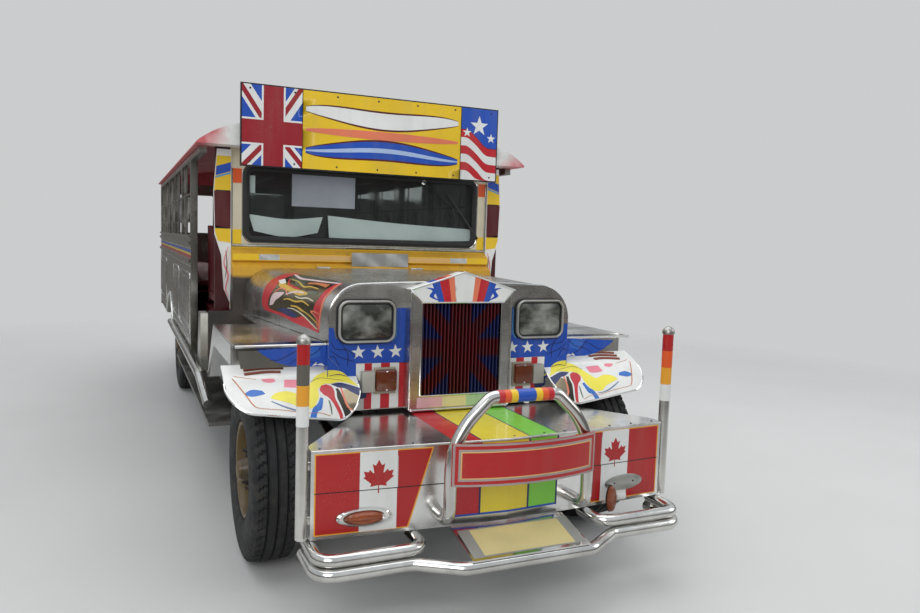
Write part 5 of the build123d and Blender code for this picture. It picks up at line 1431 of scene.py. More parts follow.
class JEEPNEY_OT_nose(bpy.types.Operator):
    """Paint of the nose panel and the wings' fronts, the cheeks between them and the wings' bright folds"""

    bl_idname = "jeepney.nose"
    bl_label = "Nose paint"

    def execute(self, context):
        rust = enamel("rust_trim", chip("rust"), 0.5, 1.0)
        for side, name in SIDES:
            panel = front_panel(FASCIA_Y, side)
            panel.shape(
                [
                    (.243, .872), (.40, .876), (.462, .877), (.461, .826), (.445, .795), (.452, .770), (.537, .780),
                    (.537, .866), (.582, .907), (.582, 1.03), (.562, 1.03), (.552, .985), (.30, .975), (.285, 1.00),
                    (.284, 1.112), (.243, 1.112)
                ], paint("blue")
            )
            panel.band(
                [(.283, 1.10), (.282, 1.03), (.284, .99), (.30, .966)],
                [(.287, 1.10), (.288, 1.03), (.292, .99), (.306, .97)], "sky", SECOND, 20, 3
            )
            edges = (.243, .268, .310, .351, .391, .424, .462)
            for number, colour in enumerate(("crimson", "white") * 3):
                foot = .800 if number == 5 else .676
                panel.block(edges[number:number + 2], (foot, .874), colour)
            for x in (.286, .367, .452):
                panel.shape(star(x, .923, .032, turn=90 + 4 * side), "white", SECOND)
            panel.band(
                [(.449, .778), (.478, .801), (.50, .824), (.522, .842), (.55, .850), (.582, .852)],
                [(.449, .776), (.475, .785), (.50, .79), (.522, .79), (.55, .79), (.582, .79)], paint("lemon"), THIRD,
                24, 3
            )
            panel.shape(
                [(.47, .781), (.43, .773), (.408, .766), (.415, .725), (.44, .722), (.47, .74)], "navy", FOURTH
            )
            scrolls = [
                [(.46, .90), (.50, .935), (.55, .94), (.575, .975)], [(.47, .885), (.53, .905), (.575, .935)],
                [(.50, .865), (.50, .92), (.535, .975)], [(.535, .87), (.56, .91), (.578, .90)],
                [(.50, .822), (.535, .832), (.578, .828)]
            ]
            for points in scrolls:
                panel.stroke(points, .0035, "navy", FOURTH, 0.5)
            corner = np.array([(.536, .824), (.5845, .824), (.5845, .912), (.536, .868)])
            back, ahead = (xyz(side * corner[:, 0], FASCIA_Y + y, corner[:, 1]) for y in (.004, .001))
            panel.parts.append(slab(back, ahead, paint("blue")))
            panel.done(f"nose_paint_{name}", slot="nose_blue")
            wing = front_panel(FENDER_Y, side)
            wing.shape(
                [
                    (.586, .956), (.68, .951), (.80, .944), (.868, .940), (.846, .922), (.80, .893), (.75, .875),
                    (.70, .867), (.586, .867)
                ], "blue"
            )
            if side == RIGHT:
                dark = plain("wing_shadow_steel", (0.17, 0.16, 0.135), 0.35, metal=0.6, grain=40)
                wing.shape(
                    [(.868, .940), (.846, .922), (.80, .893), (.75, .875), (.71, .868), (.935, .868), (.946, .940)],
                    dark
                )
            wing.shape([(.62, .95), (.70, .945), (.66, .90), (.61, .91)], "sky_deep", SECOND)
            for points in (
                [(.60, .955), (.64, .92), (.70, .905), (.74, .88)], [(.62, .875), (.67, .90), (.71, .945)],
                [(.66, .945), (.72, .93), (.78, .90), (.82, .90)]
            ):
                wing.stroke(points, .0035, "navy", THIRD, 0.5)
            wing.shape(
                [(.592, .868), (.628, .873), (.646, .868), (.63, .885), (.622, .876), (.604, .880)], "white", SECOND
            )
            wing.done(f"wing_edge_paint_{name}", slot="nose_blue")
            drape = flare_place(side)
            foot = drape(0.584, np.linspace(0.0, 0.347, 8)[:, None])
            head = foot * (1, 1, 0) + (0, 0, 0.955)
            sheet = foot + (head - foot) * np.linspace(0, 1, 6)[None, :, None]
            cheek = side_panel(NOSE_HALF, side)
            cheek.shape([(FASCIA_Y + 0.001, .825), (FASCIA_Y + 0.001, .850), (FASCIA_Y + 0.040, .846)], "lemon")
            cheek.parts.append(plate(sheet + (side * 0.001, 0, 0), sheet - (side * 0.001, 0, 0), paint("blue")))
            cheek.done(f"nose_cheek_{name}", slot="nose_blue")
            strips = [tube(drape(np.linspace(.600, .745, 10), .075), .0035, paint("white"), 8, across=UP)]
            for share in (.05, .13, .21):
                path = curve([(.730 + share * .2, share), (.83, share - .01), (.918, share + .02)], 20)
                strips.append(tube(drape(path[:, 0], path[:, 1]), .0075, rust, 8, across=UP))
            build(f"wing_trim_{name}", strips)
            edge_x = np.linspace(.586, WING_OUT, 14)
            front = xyz(side * edge_x, FENDER_Y + .0055, WING_TOP)
            edge_y = np.linspace(FENDER_Y + .006, AXLE_FRONT + .515, 20)
            outer = xyz(side * WING_OUT, edge_y, WING_TOP)
            build(
                f"wing_folds_{name}",
                [tube(front, .0062, bright(), 10, across=UP), tube(outer, .0062, bright(), 10, across=UP)],
            )
        return {"FINISHED"}


FLARE_PLAN = ((.458, -.120), (.458, -.391), (1.004, -.345), (1.004, -.120))  # across, and ahead of the axle
DRAPE = (AXLE_FRONT + 0.01366, 0.41982, 0.46960)  # the drape's centre and radius
DRAPE_START, DRAPE_TURN = math.atan2(0.45018, -0.13366), 0.72541  # angles of the sheet's start and of its whole turn


def flare_place(side, inward=0.0):
    """Points of a flare's drape, on a cylinder: x across, share from the wing at 0 to the belly's lip at 1."""

    def place(x, share):
        angle = DRAPE_START + DRAPE_TURN * share
        radius = DRAPE[2] - inward
        return xyz(side * x, DRAPE[0] + radius * np.cos(angle), DRAPE[1] + radius * np.sin(angle))

    return place


def flare_lip():
    """The lip in plan with round corners, as x and share: the share's angle has the cosine (y - centre) / radius."""
    plan = bent([(x, AXLE_FRONT + y) for x, y in FLARE_PLAN], 0.115, 16)
    angle = np.arccos((plan[:, 1] - DRAPE[0]) / DRAPE[2])
    return plan[:, 0], (angle - DRAPE_START) / DRAPE_TURN


def flare_limit(uv):
    """Keeps paint inside the lip, and ahead of the nose panel where the flare passes in front of it."""
    x = np.clip(uv[..., 0], 0.4605, 1.0015)
    lip = np.interp(x, *flare_lip()) - 0.012
    start = np.where(x < 0.5855, 0.349, 0.003)
    return np.stack([x, np.clip(uv[..., 1], start, lip)], -1)


class JEEPNEY_OT_flares(bpy.types.Operator):
    """Drooping lips of the front wings, painted white with yellow, red and blue"""

    bl_idname = "jeepney.flares"
    bl_label = "Fender flares"

    def execute(self, context):
        # The brown steel band and the near-black band on the flare's inner side are painted shade.
        brown_painted_shade = steel("flare_brown_painted_shade", (0.30, 0.25, 0.17), (0.06, 0.2), (5, 5, 5), 0.6, 0.5)
        dark = plain("flare_dark_painted_shade", (0.030, 0.028, 0.020), 0.2, metal=0.5, grain=40)
        # colour, layer, first line and second line, or the line's width; each point is (x, share)
        rows = [
            (
                "lemon", SECOND,
                [
                    (.464, .52), (.485, .43), (.50, .352), (.53, .352), (.556, .352), (.587, .25), (.611, .28),
                    (.63, .31), (.647, .37), (.669, .47), (.695, .56), (.713, .60), (.744, .565), (.771, .545),
                    (.808, .565), (.830, .62)
                ],
                [
                    (.464, .525), (.49, .49), (.517, .45), (.546, .44), (.577, .46), (.602, .46), (.621, .49),
                    (.637, .55), (.638, .64), (.651, .72), (.666, .79), (.692, .81), (.723, .80), (.741, .75),
                    (.767, .71), (.830, .64)
                ]
            ),
            (
                "navy", THIRD, [(.577, .468), (.539, .455), (.499, .50), (.475, .535), (.459, .555)],
                [(.577, .475), (.552, .525), (.523, .55), (.504, .60), (.459, .70)]
            ),
            # painted shade: brown band on the inner side
            (
                brown_painted_shade, SECOND, [(.524, .56), (.497, .59), (.469, .69), (.459, .74), (.459, .87)],
                [(.538, .60), (.532, .70), (.522, .81), (.50, .875), (.462, .89)]
            ),
            # painted shade: near-black band on the inner side
            (
                dark, SECOND, [(.553, .54), (.545, .62), (.536, .75), (.525, .84), (.515, .90)],
                [(.568, .55), (.572, .68), (.567, .78), (.565, .89), (.545, .94)]
            ),
            (
                "crimson", THIRD,
                [
                    (.599, .47), (.58, .50), (.572, .58), (.574, .68), (.567, .77), (.559, .86), (.555, .95),
                    (.559, 1.03)
                ],
                [
                    (.621, .49), (.630, .55), (.622, .62), (.608, .66), (.594, .73), (.583, .82), (.574, .92),
                    (.571, 1.02)
                ]
            ),
            (
                "white", FOURTH,
                [(.630, .585), (.622, .63), (.606, .67), (.592, .74), (.581, .83), (.572, .93), (.569, 1.02)], .007,
                0.2
            ),
            (
                "white", FOURTH,
                [(.592, .475), (.575, .51), (.567, .58), (.569, .68), (.562, .77), (.554, .86), (.549, .95)], .008,
                0.2
            ),
            (
                "azure", SECOND, [(.622, .68), (.636, .82), (.655, .86), (.668, 1.0)],
                [(.634, .66), (.650, .75), (.672, .81), (.698, 1.0)]
            ), ("green_grey", SECOND, [(.601, .71), (.598, .80), (.598, .90)], .006),
            ("pink", GROUND, [(.690, .38), (.725, .365), (.765, .36)], [(.695, .49), (.725, .50), (.772, .48)]),
            ("pink", GROUND, [(.806, .33), (.83, .325), (.856, .33)], [(.80, .38), (.825, .40), (.850, .375)]),
            ("slate", THIRD, [(.830, .68), (.790, .75), (.755, .80), (.724, .83), (.690, .84)], .012, 0.5),
            ("rust_pale", THIRD, [(.962, .25), (.937, .28), (.876, .33)], .005),
            (
                "rust_pale", THIRD,
                [
                    (.968, .30), (.944, .46), (.922, .60), (.903, .71), (.882, .76), (.821, .79), (.764, .82),
                    (.706, .86), (.646, .87), (.603, .92)
                ], .005, 0.1
            ), ("salmon", FOURTH, [(.54, .54), (.535, .72), (.524, .83), (.494, .885), (.460, .885)], .008, 0.1),
            ("navy", FOURTH, [(.66, .42), (.62, .36), (.575, .38), (.52, .42)], .004),
            ("azure", SECOND, [(.93, .55), (.90, .50), (.86, .52)], [(.925, .58), (.895, .60), (.85, .57)]),
        ]
        x = 0.731 - 0.271 * np.cos(np.linspace(0, math.pi, 61))
        x = np.sort(np.concatenate([x[(x < 0.583) | (x > 0.588)], (0.5845, 0.5855)]))
        lip_x, lip_share = flare_lip()
        start = np.where(x < 0.585, 0.347, 0.0)
        share = start[:, None] + (np.interp(x, lip_x, lip_share) - start)[:, None] * np.linspace(0, 1, 22)
        across = np.broadcast_to(x[:, None], share.shape)
        for side, name in SIDES:
            shell = plate(flare_place(side)(across, share), flare_place(side, 0.008)(across, share), paint("white"))
            keep = lip_share > 0.348
            bead = tube(
                flare_place(side, 0.004)(np.clip(lip_x, 0.461, 1.001)[keep], lip_share[keep] - 0.008), 0.0055,
                chrome(), 8, across=UP
            )
            build(
                f"flare_sheet_{name}", [shell, bead],
                replaces=("fender_flares",) if side == LEFT else ()
            )
            panel = Panel(flare_place(side), (0, -0.6, 0.8), flare_limit)
            panel.paint_all(rows)
            panel.done(f"flare_paint_{name}", slot="flare_white")
        return {"FINISHED"}


# Bumper


def valance(u, v):
    """The bumper's front face: u across, v up; it falls back from the middle as a shallow V."""
    return xyz(u, valance_y(u), v)


class JEEPNEY_OT_bumper(bpy.types.Operator):
    """Flags, stripes, seams and screws of the bumper box"""

    bl_idname = "jeepney.bumper"
    bl_label = "Bumper"

    def execute(self, context):
        panel = Panel(valance, FORWARD)
        z0, z1 = 0.344, 0.644
        outer = 0.752
        stripes = [("crimson", -0.225, -0.120), ("canary", -0.120, 0.090), ("green", 0.090, 0.225)]
        for side in (LEFT, RIGHT):
            corner_high, corner_low = 0.310, 0.402
            field = [(side * outer, z0), (side * outer, z1), (side * corner_high, z1), (side * corner_low, z0)]
            panel.shape(field, "amber", GROUND)
            edge = 0.005
            field = [(side * (outer - edge), z0 + edge), (side * (outer - edge), z1 - edge),
                     (side * (corner_high + edge * 1.4), z1 - edge), (side * (corner_low + edge), z0 + edge)]
            panel.shape(field, "red", SECOND)
            panel.block(span(side, 0.449, 0.589), (z0 + 0.002, z1 - 0.002), "white", THIRD)
            panel.shape(maple_leaf(side * 0.519, 0.548, 0.062), "red", FOURTH)
        for colour, x0, x1 in stripes:
            for a, b in ((x0, min(x1, 0)), (max(x0, 0), x1)):
                if b > a:
                    panel.block((a, b), (0.372, DECK_Z - 0.010), colour, GROUND)
        for x in (-0.225, -0.120, 0.090, 0.225):
            panel.block((x - 0.004, x + 0.004), (0.366, DECK_Z - 0.010), "navy", SECOND)
        for half in ((-0.229, 0.0), (0.0, 0.229)):
            panel.block(half, (0.364, 0.372), "blue", SECOND)
            panel.block((half[0] * 3.28, half[1] * 3.28), (0.4985, 0.5015), "black", FOURTH + 0.0002)
        panel.done("valance_paint", slot="bumper_red")
        top = Panel(lambda u, v: xyz(u, v, DECK_Z), UP)
        rear = FASCIA_Y - 0.012
        for colour, x0, x1 in stripes:
            points = [(x0, rear), (x0, valance_y(x0) + 0.004)]
            if x0 < 0 < x1:
                points.append((0, TIP_Y + 0.004))
            points += [(x1, valance_y(x1) + 0.004), (x1, rear)]
            top.shape(points, colour, GROUND)
        for x in (-0.120, 0.090, 0.225):
            top.stroke([(x, rear), (x, valance_y(x) + 0.006)], 0.006, "navy", SECOND, 0, 4)
        top.done("deck_stripes", slot="bumper_red")
        x = np.concatenate([np.linspace(-0.73, -0.27, 5), (-0.17, 0.03, 0.17), np.linspace(0.27, 0.73, 5)])
        heads = xyz(x, valance_y(x) + 0.022, DECK_Z)
        parts = [domes(heads, UP, 0.0055, 0.003, paint("black"))]
        for side in (LEFT, RIGHT):
            share = np.linspace(0, 1, 6)
            lip = xyz(side * END_HALF * share, TIP_Y + END_HALF * BUMPER_SLOPE * share, DECK_Z - 0.004)
            parts.append(tube(lip, 0.0042, stainless(), 8, across=UP))
        build("deck_screws", parts)
        return {"FINISHED"}


def mirrored(points):
    """A centre line from its right-hand half: the same points come back on the left."""
    return [tuple(p) for p in points] + [(-x, y, z) for x, y, z in reversed(points)]


class JEEPNEY_OT_tubes(bpy.types.Operator):
    """Bent tubes of the bumper, guard hoop, sills and ceiling, the banded posts and the blank boards"""

    bl_idname = "jeepney.tubes"
    bl_label = "Tubes and boards"

    def execute(self, context):
        steel_tube, y0 = bright(), AXLE_FRONT
        main = mirrored(
            [(-.771, y0 - .652, .258), (-.771, y0 - .870, .258), (-.430, y0 - .870, .258), (-.265, y0 - .976, .258)]
        )
        parts = [tube(bent(main, 0.070, 10), TUBE, steel_tube, 20, across=UP)]
        for side in (LEFT, RIGHT):
            loop = [(side * x, y0 + y, .306) for x, y in ((.380, -.712), (.380, -.860), (.763, -.860), (.763, -.672))]
            parts.append(tube(bent(loop, 0.060, 10), TUBE, steel_tube, 20, across=UP))
            parts.append(cushion_block((side * .759, y0 - .682, .290), (.010, .020, .040), .003, steel_tube, 2))
        build("bumper_tube_set", parts, replaces=("bumper_tubes",))
        foot = valance_y(HOOP_X) + 0.003
        half = [(-HOOP_X, foot, .392), (-HOOP_X, HOOP_Y, .392), (-HOOP_X, HOOP_Y, .700), (-.140, HOOP_Y, HOOP_TOP)]
        foot_bend = bent(half[:3], 0.055, 10)[:-1]
        shoulder = bent(half[1:], 0.290, 14)[1:-1]
        top = bent([shoulder[-1], half[3], (0, HOOP_Y, HOOP_TOP)], 0.055, 10)[1:-1]
        spine = np.vstack([foot_bend, shoulder, top])
        hoop = tube(mirrored([tuple(p) for p in spine]), TUBE, steel_tube, 20, across=(0.6, 0.5, -0.62))
        build("guard_hoop_tube", [hoop], replaces=("guard_hoop",))
        names = ["crimson", "orange", "yellow", "blue", "blue", "yellow", "orange", "crimson"]
        edges = np.array([-.116, -.092, -.066, -.038, 0, .038, .066, .092, .116])
        bands = []
        for colour, x0, x1 in zip(names, edges[:-1], edges[1:]):
            path = xyz(np.linspace(x0 + 0.0003, x1 - 0.0003, 4), HOOP_Y, HOOP_TOP)
            bands.append(tube(path, TUBE + 0.0008, paint(colour), 28, across=UP))
        build("hoop_bands", bands)
        self.posts(steel_tube)
        parts = []
        for side in (LEFT, RIGHT):
            route = [
                (side * .9803, y0 + .560, .560), (side * .9943, y0 + .860, .656),
                (side * .9943, AXLE_REAR - .480, .656)
            ]
            parts.append(tube(bent(route, 0.300, 12), (high("sill_tubes").x - .9943), steel_tube, 20, across=OUT))
        build("sill_tube_set", parts, replaces=("sill_tubes",))
        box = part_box("grab_rails")
        parts = []
        for side in (LEFT, RIGHT):
            rail = xyz(side * RAIL_X, np.linspace(box[0].y, box[1].y, 8), box[0].z + .014)
            parts.append(tube(rail, .014, steel_tube, 16, across=UP))
            for y in np.linspace(box[0].y + .100, box[1].y - .100, 5):
                top = box[1].z - .004
                middle = (box[0].z + .014 + top) / 2
                parts.append(
                    cushion_block((side * RAIL_X, y, middle), (.008, .008, top - middle), .002, steel_tube, 2)
                )
        build("grab_rail_set", parts, replaces=("grab_rails",))
        self.boards()
        return {"FINISHED"}

    def posts(self, steel_tube):
        """A capped post on two straps at each end of the bumper, with four painted quarters at its top."""
        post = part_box("marker_posts")
        x0, y = post[1].x - 0.023, (post[0].y + post[1].y) / 2
        worn = enamel("enamel_worn_band", srgb(92, 88, 78), 0.5, 1.0)
        for side, name in SIDES:
            x = side * x0
            cap = [
                (-.004, .0215), (0.0, .0258), (.012, .0258), (.018, .0235), (.024, .018), (.029, .011), (.0325, .003)
            ]
            parts = [
                lathe([(0, .022), (.704, .022)], (x, y, .334), UP, steel_tube, 28),
                lathe(
                    cap, (x, y, post[1].z - .0335), UP,
                    steel("post_cap", (.42, .41, .38), (.25, .5), (8, 8, 8), .2, .8), 28
                )
            ]
            parts += [
                cushion_block((side * .779, y, z), (.014, .008, .015), .002, steel_tube, 2) for z in (.400, .600)
            ]
            build(
                f"marker_post_{name}", parts, replaces=("marker_posts",) if side == LEFT else ()
            )
            quarter = (1.038 - 0.746) / 4
            bands = []
            for number, material in enumerate(
                [paint("red"), paint("orange") if side == LEFT else worn, paint("amber"), paint("white")]
            ):
                z = np.linspace(1.0375 - (number + 1) * quarter + 0.0003, 1.0375 - number * quarter, 4)
                bands.append(tube(xyz(x, y, z), 0.0227, material, 28, across=BACK))
            build(f"post_bands_{name}", bands)

    def boards(self):
        """The bordered name board, bowed forwards and blank, and the blank number plate on its tray."""
        board_low, board_high = low("name_board"), high("name_board")
        half, bulge = board_high.x, 0.052
        radius = (half * half + bulge * bulge) / (2 * bulge)
        front = board_low.y

        def face(u, v):
            return xyz(u, front + radius - np.sqrt(radius * radius - u * u), v)

        z0, z1 = board_low.z, board_high.z
        panel = Panel(face, FORWARD)
        grey = plain("board_edge", (0.36, 0.29, 0.27), 0.45, grain=90)
        inset = [(0.0, grey), (0.008, paint("red")), (0.020, grey), (0.028, paint("tan")), (0.032, paint("red"))]
        for number, (margin, material) in enumerate(inset):
            panel.block(
                (-half + margin, half - margin), (z0 + margin, z1 - margin), material, GROUND + 0.0004 * number
            )
        panel.done("board_paint", slot="bumper_red")
        tray_low = low("plate_bracket")

        def tray(u, v):
            return xyz(u, tray_low.y + 0.004 + v * 0.170, 0.2885 + v * (0.336 - 0.2885))

        plate_panel = Panel(tray, (0, -0.3, 1))
        plate_panel.block(
            (-0.236, 0.236), (0.06, 0.97), plain("tray_grey", (0.30, 0.30, 0.28), 0.5, metal=0.5, grain=50), GROUND
        )
        plate_panel.block(
            (-0.190, 0.190), (0.10, 0.93), plain("plate_cream", srgb(204, 188, 132), 0.5, grain=50), SECOND
        )
        plate_panel.done("front_plate", slot="stainless")


# Wheels


def tyre_part(x, y, z, side):
    """A worn ribbed tyre: its section swung round the axle, with grooves and lugs cut by a depth formula.

    Depth is tread_depth inside three round grooves and in slanted sipes that open onto the shoulders.
    """
    lugs, depth = sizes().tread_lugs, sizes().tread_depth
    half, outer, bead = TYRE_HALF, TYRE_OUTER, 0.199
    section = [
        (-half + 0.024, bead), (-half + 0.010, bead + 0.018), (-half + 0.004, bead + 0.045), (-half, bead + 0.085),
        (-half + 0.001, outer - 0.062), (-half + 0.006, outer - 0.032), (-half + 0.014, outer - 0.012)
    ]
    tread = np.linspace(-half + 0.022, half - 0.022, 25)
    across = np.concatenate([[p[0] for p in section], tread, [-p[0] for p in section[::-1]]])
    reach = np.concatenate(
        [[p[1] for p in section], outer - 0.006 * (tread / half) ** 2, [p[1] for p in section[::-1]]]
    )
    steps = lugs * 5
    turn = np.linspace(0, 2 * math.pi, steps, endpoint=False)[:, None]
    phase = (turn / (2 * math.pi) * lugs + across[None] * 14) % 1.0
    on_tread = np.abs(across) <= half - 0.020
    groove = np.isin(np.arange(len(across)), len(section) + np.array([6, 12, 18]))
    shoulder = (np.abs(across) > half - 0.055) & (np.abs(across) < half - 0.008)
    sipe = (phase < 0.22) & shoulder[None]
    cut = np.where(groove[None] & on_tread[None], depth, 0.0)
    cut = np.maximum(cut, np.where(sipe, depth * 0.8, 0.0))
    radius = reach[None] - cut
    points = xyz(x + side * across[None], y + radius * np.sin(turn), z + radius * np.cos(turn))
    faces = [grid_faces(steps, len(across), wrap_rows=True, wrap_columns=True)]
    return points.reshape(-1, 3), faces, rubber()


def wheel_ring(profile, centre, side, material, steps=72):
    """A closed ring: an outline of (along, radius) rows swung round the axle."""
    along, reach = np.asarray(profile, float).T
    turn = np.linspace(0, 2 * math.pi, steps, endpoint=False)
    offset = xyz(side * along[:, None], reach[:, None] * np.sin(turn), reach[:, None] * np.cos(turn))
    return (offset + centre).reshape(-1, 3), [grid_faces(len(along), steps, True, True)], material


def pierced_disc(centre, side, material, count=8, inner=0.060, outer=0.166, hole=0.017, circle=0.146):
    """The wheel's disc: in each sector a grid runs from the hand hole's edge out to the sector's edge.

    The way out from the hole's centre ends at the nearest of the outer arc, the inner arc and the sector's two sides.
    """
    half = math.pi / count
    corners = [
        math.atan2(r * math.sin(a), r * math.cos(a) - circle) % (2 * math.pi) for r in (inner, outer)
        for a in (-half, half)
    ]
    turn = np.unique(np.round(np.concatenate([np.linspace(0, 2 * math.pi, 28, endpoint=False), corners]), 9))
    way = np.stack([np.cos(turn), np.sin(turn)])
    ahead = circle * way[0]
    reach = -ahead + np.sqrt(ahead**2 - circle**2 + outer**2)
    root = ahead**2 - circle**2 + inner**2
    reach = np.where((root > 0) & (ahead < 0), np.minimum(reach, -ahead - np.sqrt(np.maximum(root, 0))), reach)
    for sign in (1, -1):
        closing = sign * math.cos(half) * way[1] - math.sin(half) * way[0]
        reach = np.where(
            closing > 1e-6, np.minimum(reach, math.sin(half) * circle / np.maximum(closing, 1e-6)), reach
        )
    length = hole + (reach[:, None] - hole) * np.linspace(0, 1, 4)
    flat = np.stack([circle + length * way[0][:, None], length * way[1][:, None]], -1)
    rows, columns = length.shape
    angle = np.arange(count) * 2 * half + half
    u = flat[None, ..., 0] * np.cos(angle)[:, None, None] - flat[None, ..., 1] * np.sin(angle)[:, None, None]
    v = flat[None, ..., 0] * np.sin(angle)[:, None, None] + flat[None, ..., 1] * np.cos(angle)[:, None, None]
    faces = grid_faces(rows, columns, wrap_rows=True)
    edge = np.arange(rows) * columns
    size = rows * columns
    wall = np.stack([edge, np.roll(edge, -1), np.roll(edge, -1) + size, edge + size], -1)
    one = np.concatenate([faces, faces[:, ::-1] + size, wall])
    layers = [xyz(side * along, u, v).reshape(count, size, 3) for along in (0.044, 0.030)]
    points = np.concatenate(layers, 1).reshape(-1, 3) + centre
    step = (np.arange(count) * 2 * size)[:, None, None]
    return points, [(one[None] + step).reshape(-1, 4)], material


class JEEPNEY_OT_wheels(bpy.types.Operator):
    """Tyres with tread, pierced rims, wheel nuts, hub caps and valves"""

    bl_idname = "jeepney.wheels"
    bl_label = "Wheels"

    def execute(self, context):
        iron = underbody("axle_iron", (0.045, 0.043, 0.04), 0.7)
        gold = enamel("wheel_enamel", chip("gold"))
        # Disc, slope and hub take the gold at 0.55: painted shade in the wheel's dish.
        painted_shade_gold = enamel("wheel_disc_enamel", shade(chip("gold"), 0.55), 0.5, 1.4, (0.05, 0.035, 0.02))
        # outlines of (along the axle, radius)
        barrel = [
            (.0845, .2195), (.082, .2212), (.078, .2190), (.076, .1987), (-.076, .1987), (-.080, .220),
            (-.084, .2205), (-.084, .1887), (.020, .1885), (.076, .1890), (.0825, .1925), (.0845, .2000)
        ]
        hub = [(-.088, .024), (-.088, .150), (-.083, .155), (-.030, .155), (-.030, .060), (.044, .060), (.052, .056),
               (.088, .043), (.096, .041), (.096, .024)]
        slope = [(.0442, .1650), (.041, .176), (.033, .1888), (.018, .1888), (.027, .172), (.0298, .1650)]
        cap = [(.084, .040), (.092, .040), (.104, .036), (.110, .024), (.111, .004)]
        for end, y in (("front", AXLE_FRONT), ("rear", AXLE_REAR)):
            for side, word in SIDES:
                wheel = f"{end}_{word}"
                x = side * WHEEL_X
                centre = np.array([x, y, AXLE_HEIGHT])
                build(
                    f"tread_{wheel}", [tyre_part(x, y, AXLE_HEIGHT, side)], f"wheel_{wheel}", 24,
                    (f"tyre_{wheel}",)
                )
                rims = [wheel_ring(barrel, centre, side, gold)] + [
                    wheel_ring(outline, centre, side, painted_shade_gold) for outline in (slope, hub)
                ]
                rims.append(pierced_disc(centre, side, painted_shade_gold))
                build(f"pierced_{wheel}", rims, f"wheel_{wheel}", 32, (f"rim_{wheel}",))
                turn = np.radians(np.arange(6) * 60)
                places = centre + (side * 0.052, 0, 0) + 0.083 * xyz(0.0, np.cos(turn), np.sin(turn))
                parts = []
                for place in places:
                    parts.append(
                        lathe(
                            [(-0.009, 0.017), (0.000, 0.017), (0.002, 0.013), (0.016, 0.013), (0.017, 0.0105)], place,
                            (side, 0, 0), iron, 6
                        )
                    )
                    parts.append(
                        lathe([(0.016, 0.0065), (0.028, 0.0065), (0.029, 0.005)], place, (side, 0, 0), iron, 10)
                    )
                parts.append(lathe(cap, centre, (side, 0, 0), gold, 32))
                valve = centre + (side * 0.040, 0, 0.176)
                parts.append(
                    lathe(
                        [(-0.004, 0.0045), (0.020, 0.004), (0.032, 0.004), (0.034, 0.002)], valve, (side, 0, 0.2),
                        black_rubber(), 8
                    )
                )
                build(f"nuts_{wheel}", parts, f"wheel_{wheel}")
        return {"FINISHED"}


# Body sides, roof and tail


WINDOWS, WINDOWS_FRONT, WINDOWS_REAR, WINDOW_POST = 5, -0.550, 3.150, 0.070


def window_edges():
    """Front and rear of each side window."""
    pitch = (WINDOWS_REAR - WINDOWS_FRONT) / WINDOWS
    rear = WINDOWS_FRONT + (np.arange(WINDOWS) + 1) * pitch
    return np.stack([rear - pitch + WINDOW_POST, rear], -1)


def spiral(centre, radius, start, turns, grow, count=36):
    """A wrought scroll in the y-z plane: radius * grow ** s while the angle turns."""
    s = np.linspace(0, 1, count)
    angle = start + turns * 2 * math.pi * s
    reach = radius * grow**s
    return xyz(0.0, centre[0] + reach * np.cos(angle), centre[1] + reach * np.sin(angle))


class JEEPNEY_OT_sides(bpy.types.Operator):
    """Scrollwork, rivets, beads, pressed panels and pinstripes of the body sides"""

    bl_idname = "jeepney.sides"
    bl_label = "Body sides"

    def execute(self, context):
        iron = finishes["grille_iron"]
        for side, name in SIDES:
            x = side * (BODY_X - 0.020)
            parts = []
            for front, rear in window_edges():
                middle = (front + rear) / 2
                for sign in (1, -1):
                    for height, flip in ((1.71, 1), (1.45, -1)):
                        line = spiral(
                            (middle + sign * 0.245, height), 0.055, math.pi / 2 * flip, sign * flip * 1.25, 0.22
                        )
                        parts.append(tube(line + (x, 0, 0), np.linspace(0.0045, 0.003, 36), iron, 6, across=OUT))
                petals = np.linspace(0, 2 * math.pi, 60, endpoint=False)
                flower = 0.040 + 0.028 * np.cos(6 * petals)
                line = xyz(x, middle + flower * np.sin(petals), 1.560 + flower * np.cos(petals))
                parts.append(tube(line, 0.0038, iron, 6, closed=True, across=OUT))
            build(f"window_scrolls_{name}", parts)
            out = side * BODY_X
            heads = []
            for z in (1.300, 1.190, 0.700):
                stations = np.arange(-0.50, 3.12, 0.085)
                if z < 0.9:
                    stations = stations[np.abs(stations - AXLE_REAR) > ARCH_RADIUS - 0.02]
                heads.append(xyz(out, stations, z))
            stations = np.arange(-0.54, 3.10, 0.10)
            heads.append(xyz(out, stations, 1.872))
            rivets = domes(np.vstack(heads), (side, 0, 0), sizes().rivet_radius, 0.0025, chrome())
            beads = []
            angle = np.linspace(math.radians(34), math.radians(146), 40)
            lip = xyz(
                out + side * 0.002, AXLE_REAR + (ARCH_RADIUS + 0.012) * np.cos(angle),
                AXLE_HEIGHT + (ARCH_RADIUS + 0.012) * np.sin(angle)
            )
            beads.append(tube(lip, 0.011, bright(), 10, across=OUT))
            for y0, y1 in ((-0.50, 0.42), (0.50, 1.08), (2.12, 3.10)):
                frame_line = rounded_rectangle((y1 - y0) / 2, 0.195, 0.03, 5) + ((y0 + y1) / 2, 0.945)
                path = xyz(out + side * 0.001, frame_line[:, 0], frame_line[:, 1])
                beads.append(tube(path, 0.006, bright(), 8, closed=True, across=OUT))
                beads.append(diamond_panel(side, (y0 + 0.05, y1 - 0.05), (0.79, 1.10)))
            build(f"side_trim_{name}", [rivets] + beads)
            stripe = side_panel(BODY_X, side)
            for colour, z0, z1 in (("red", 1.240, 1.256), ("yellow", 1.260, 1.272), ("blue", 1.276, 1.292)):
                stripe.block((-0.548, 3.148), (z0, z1), colour)
            stripe.done(f"belt_stripes_{name}", slot="body_steel")
        return {"FINISHED"}


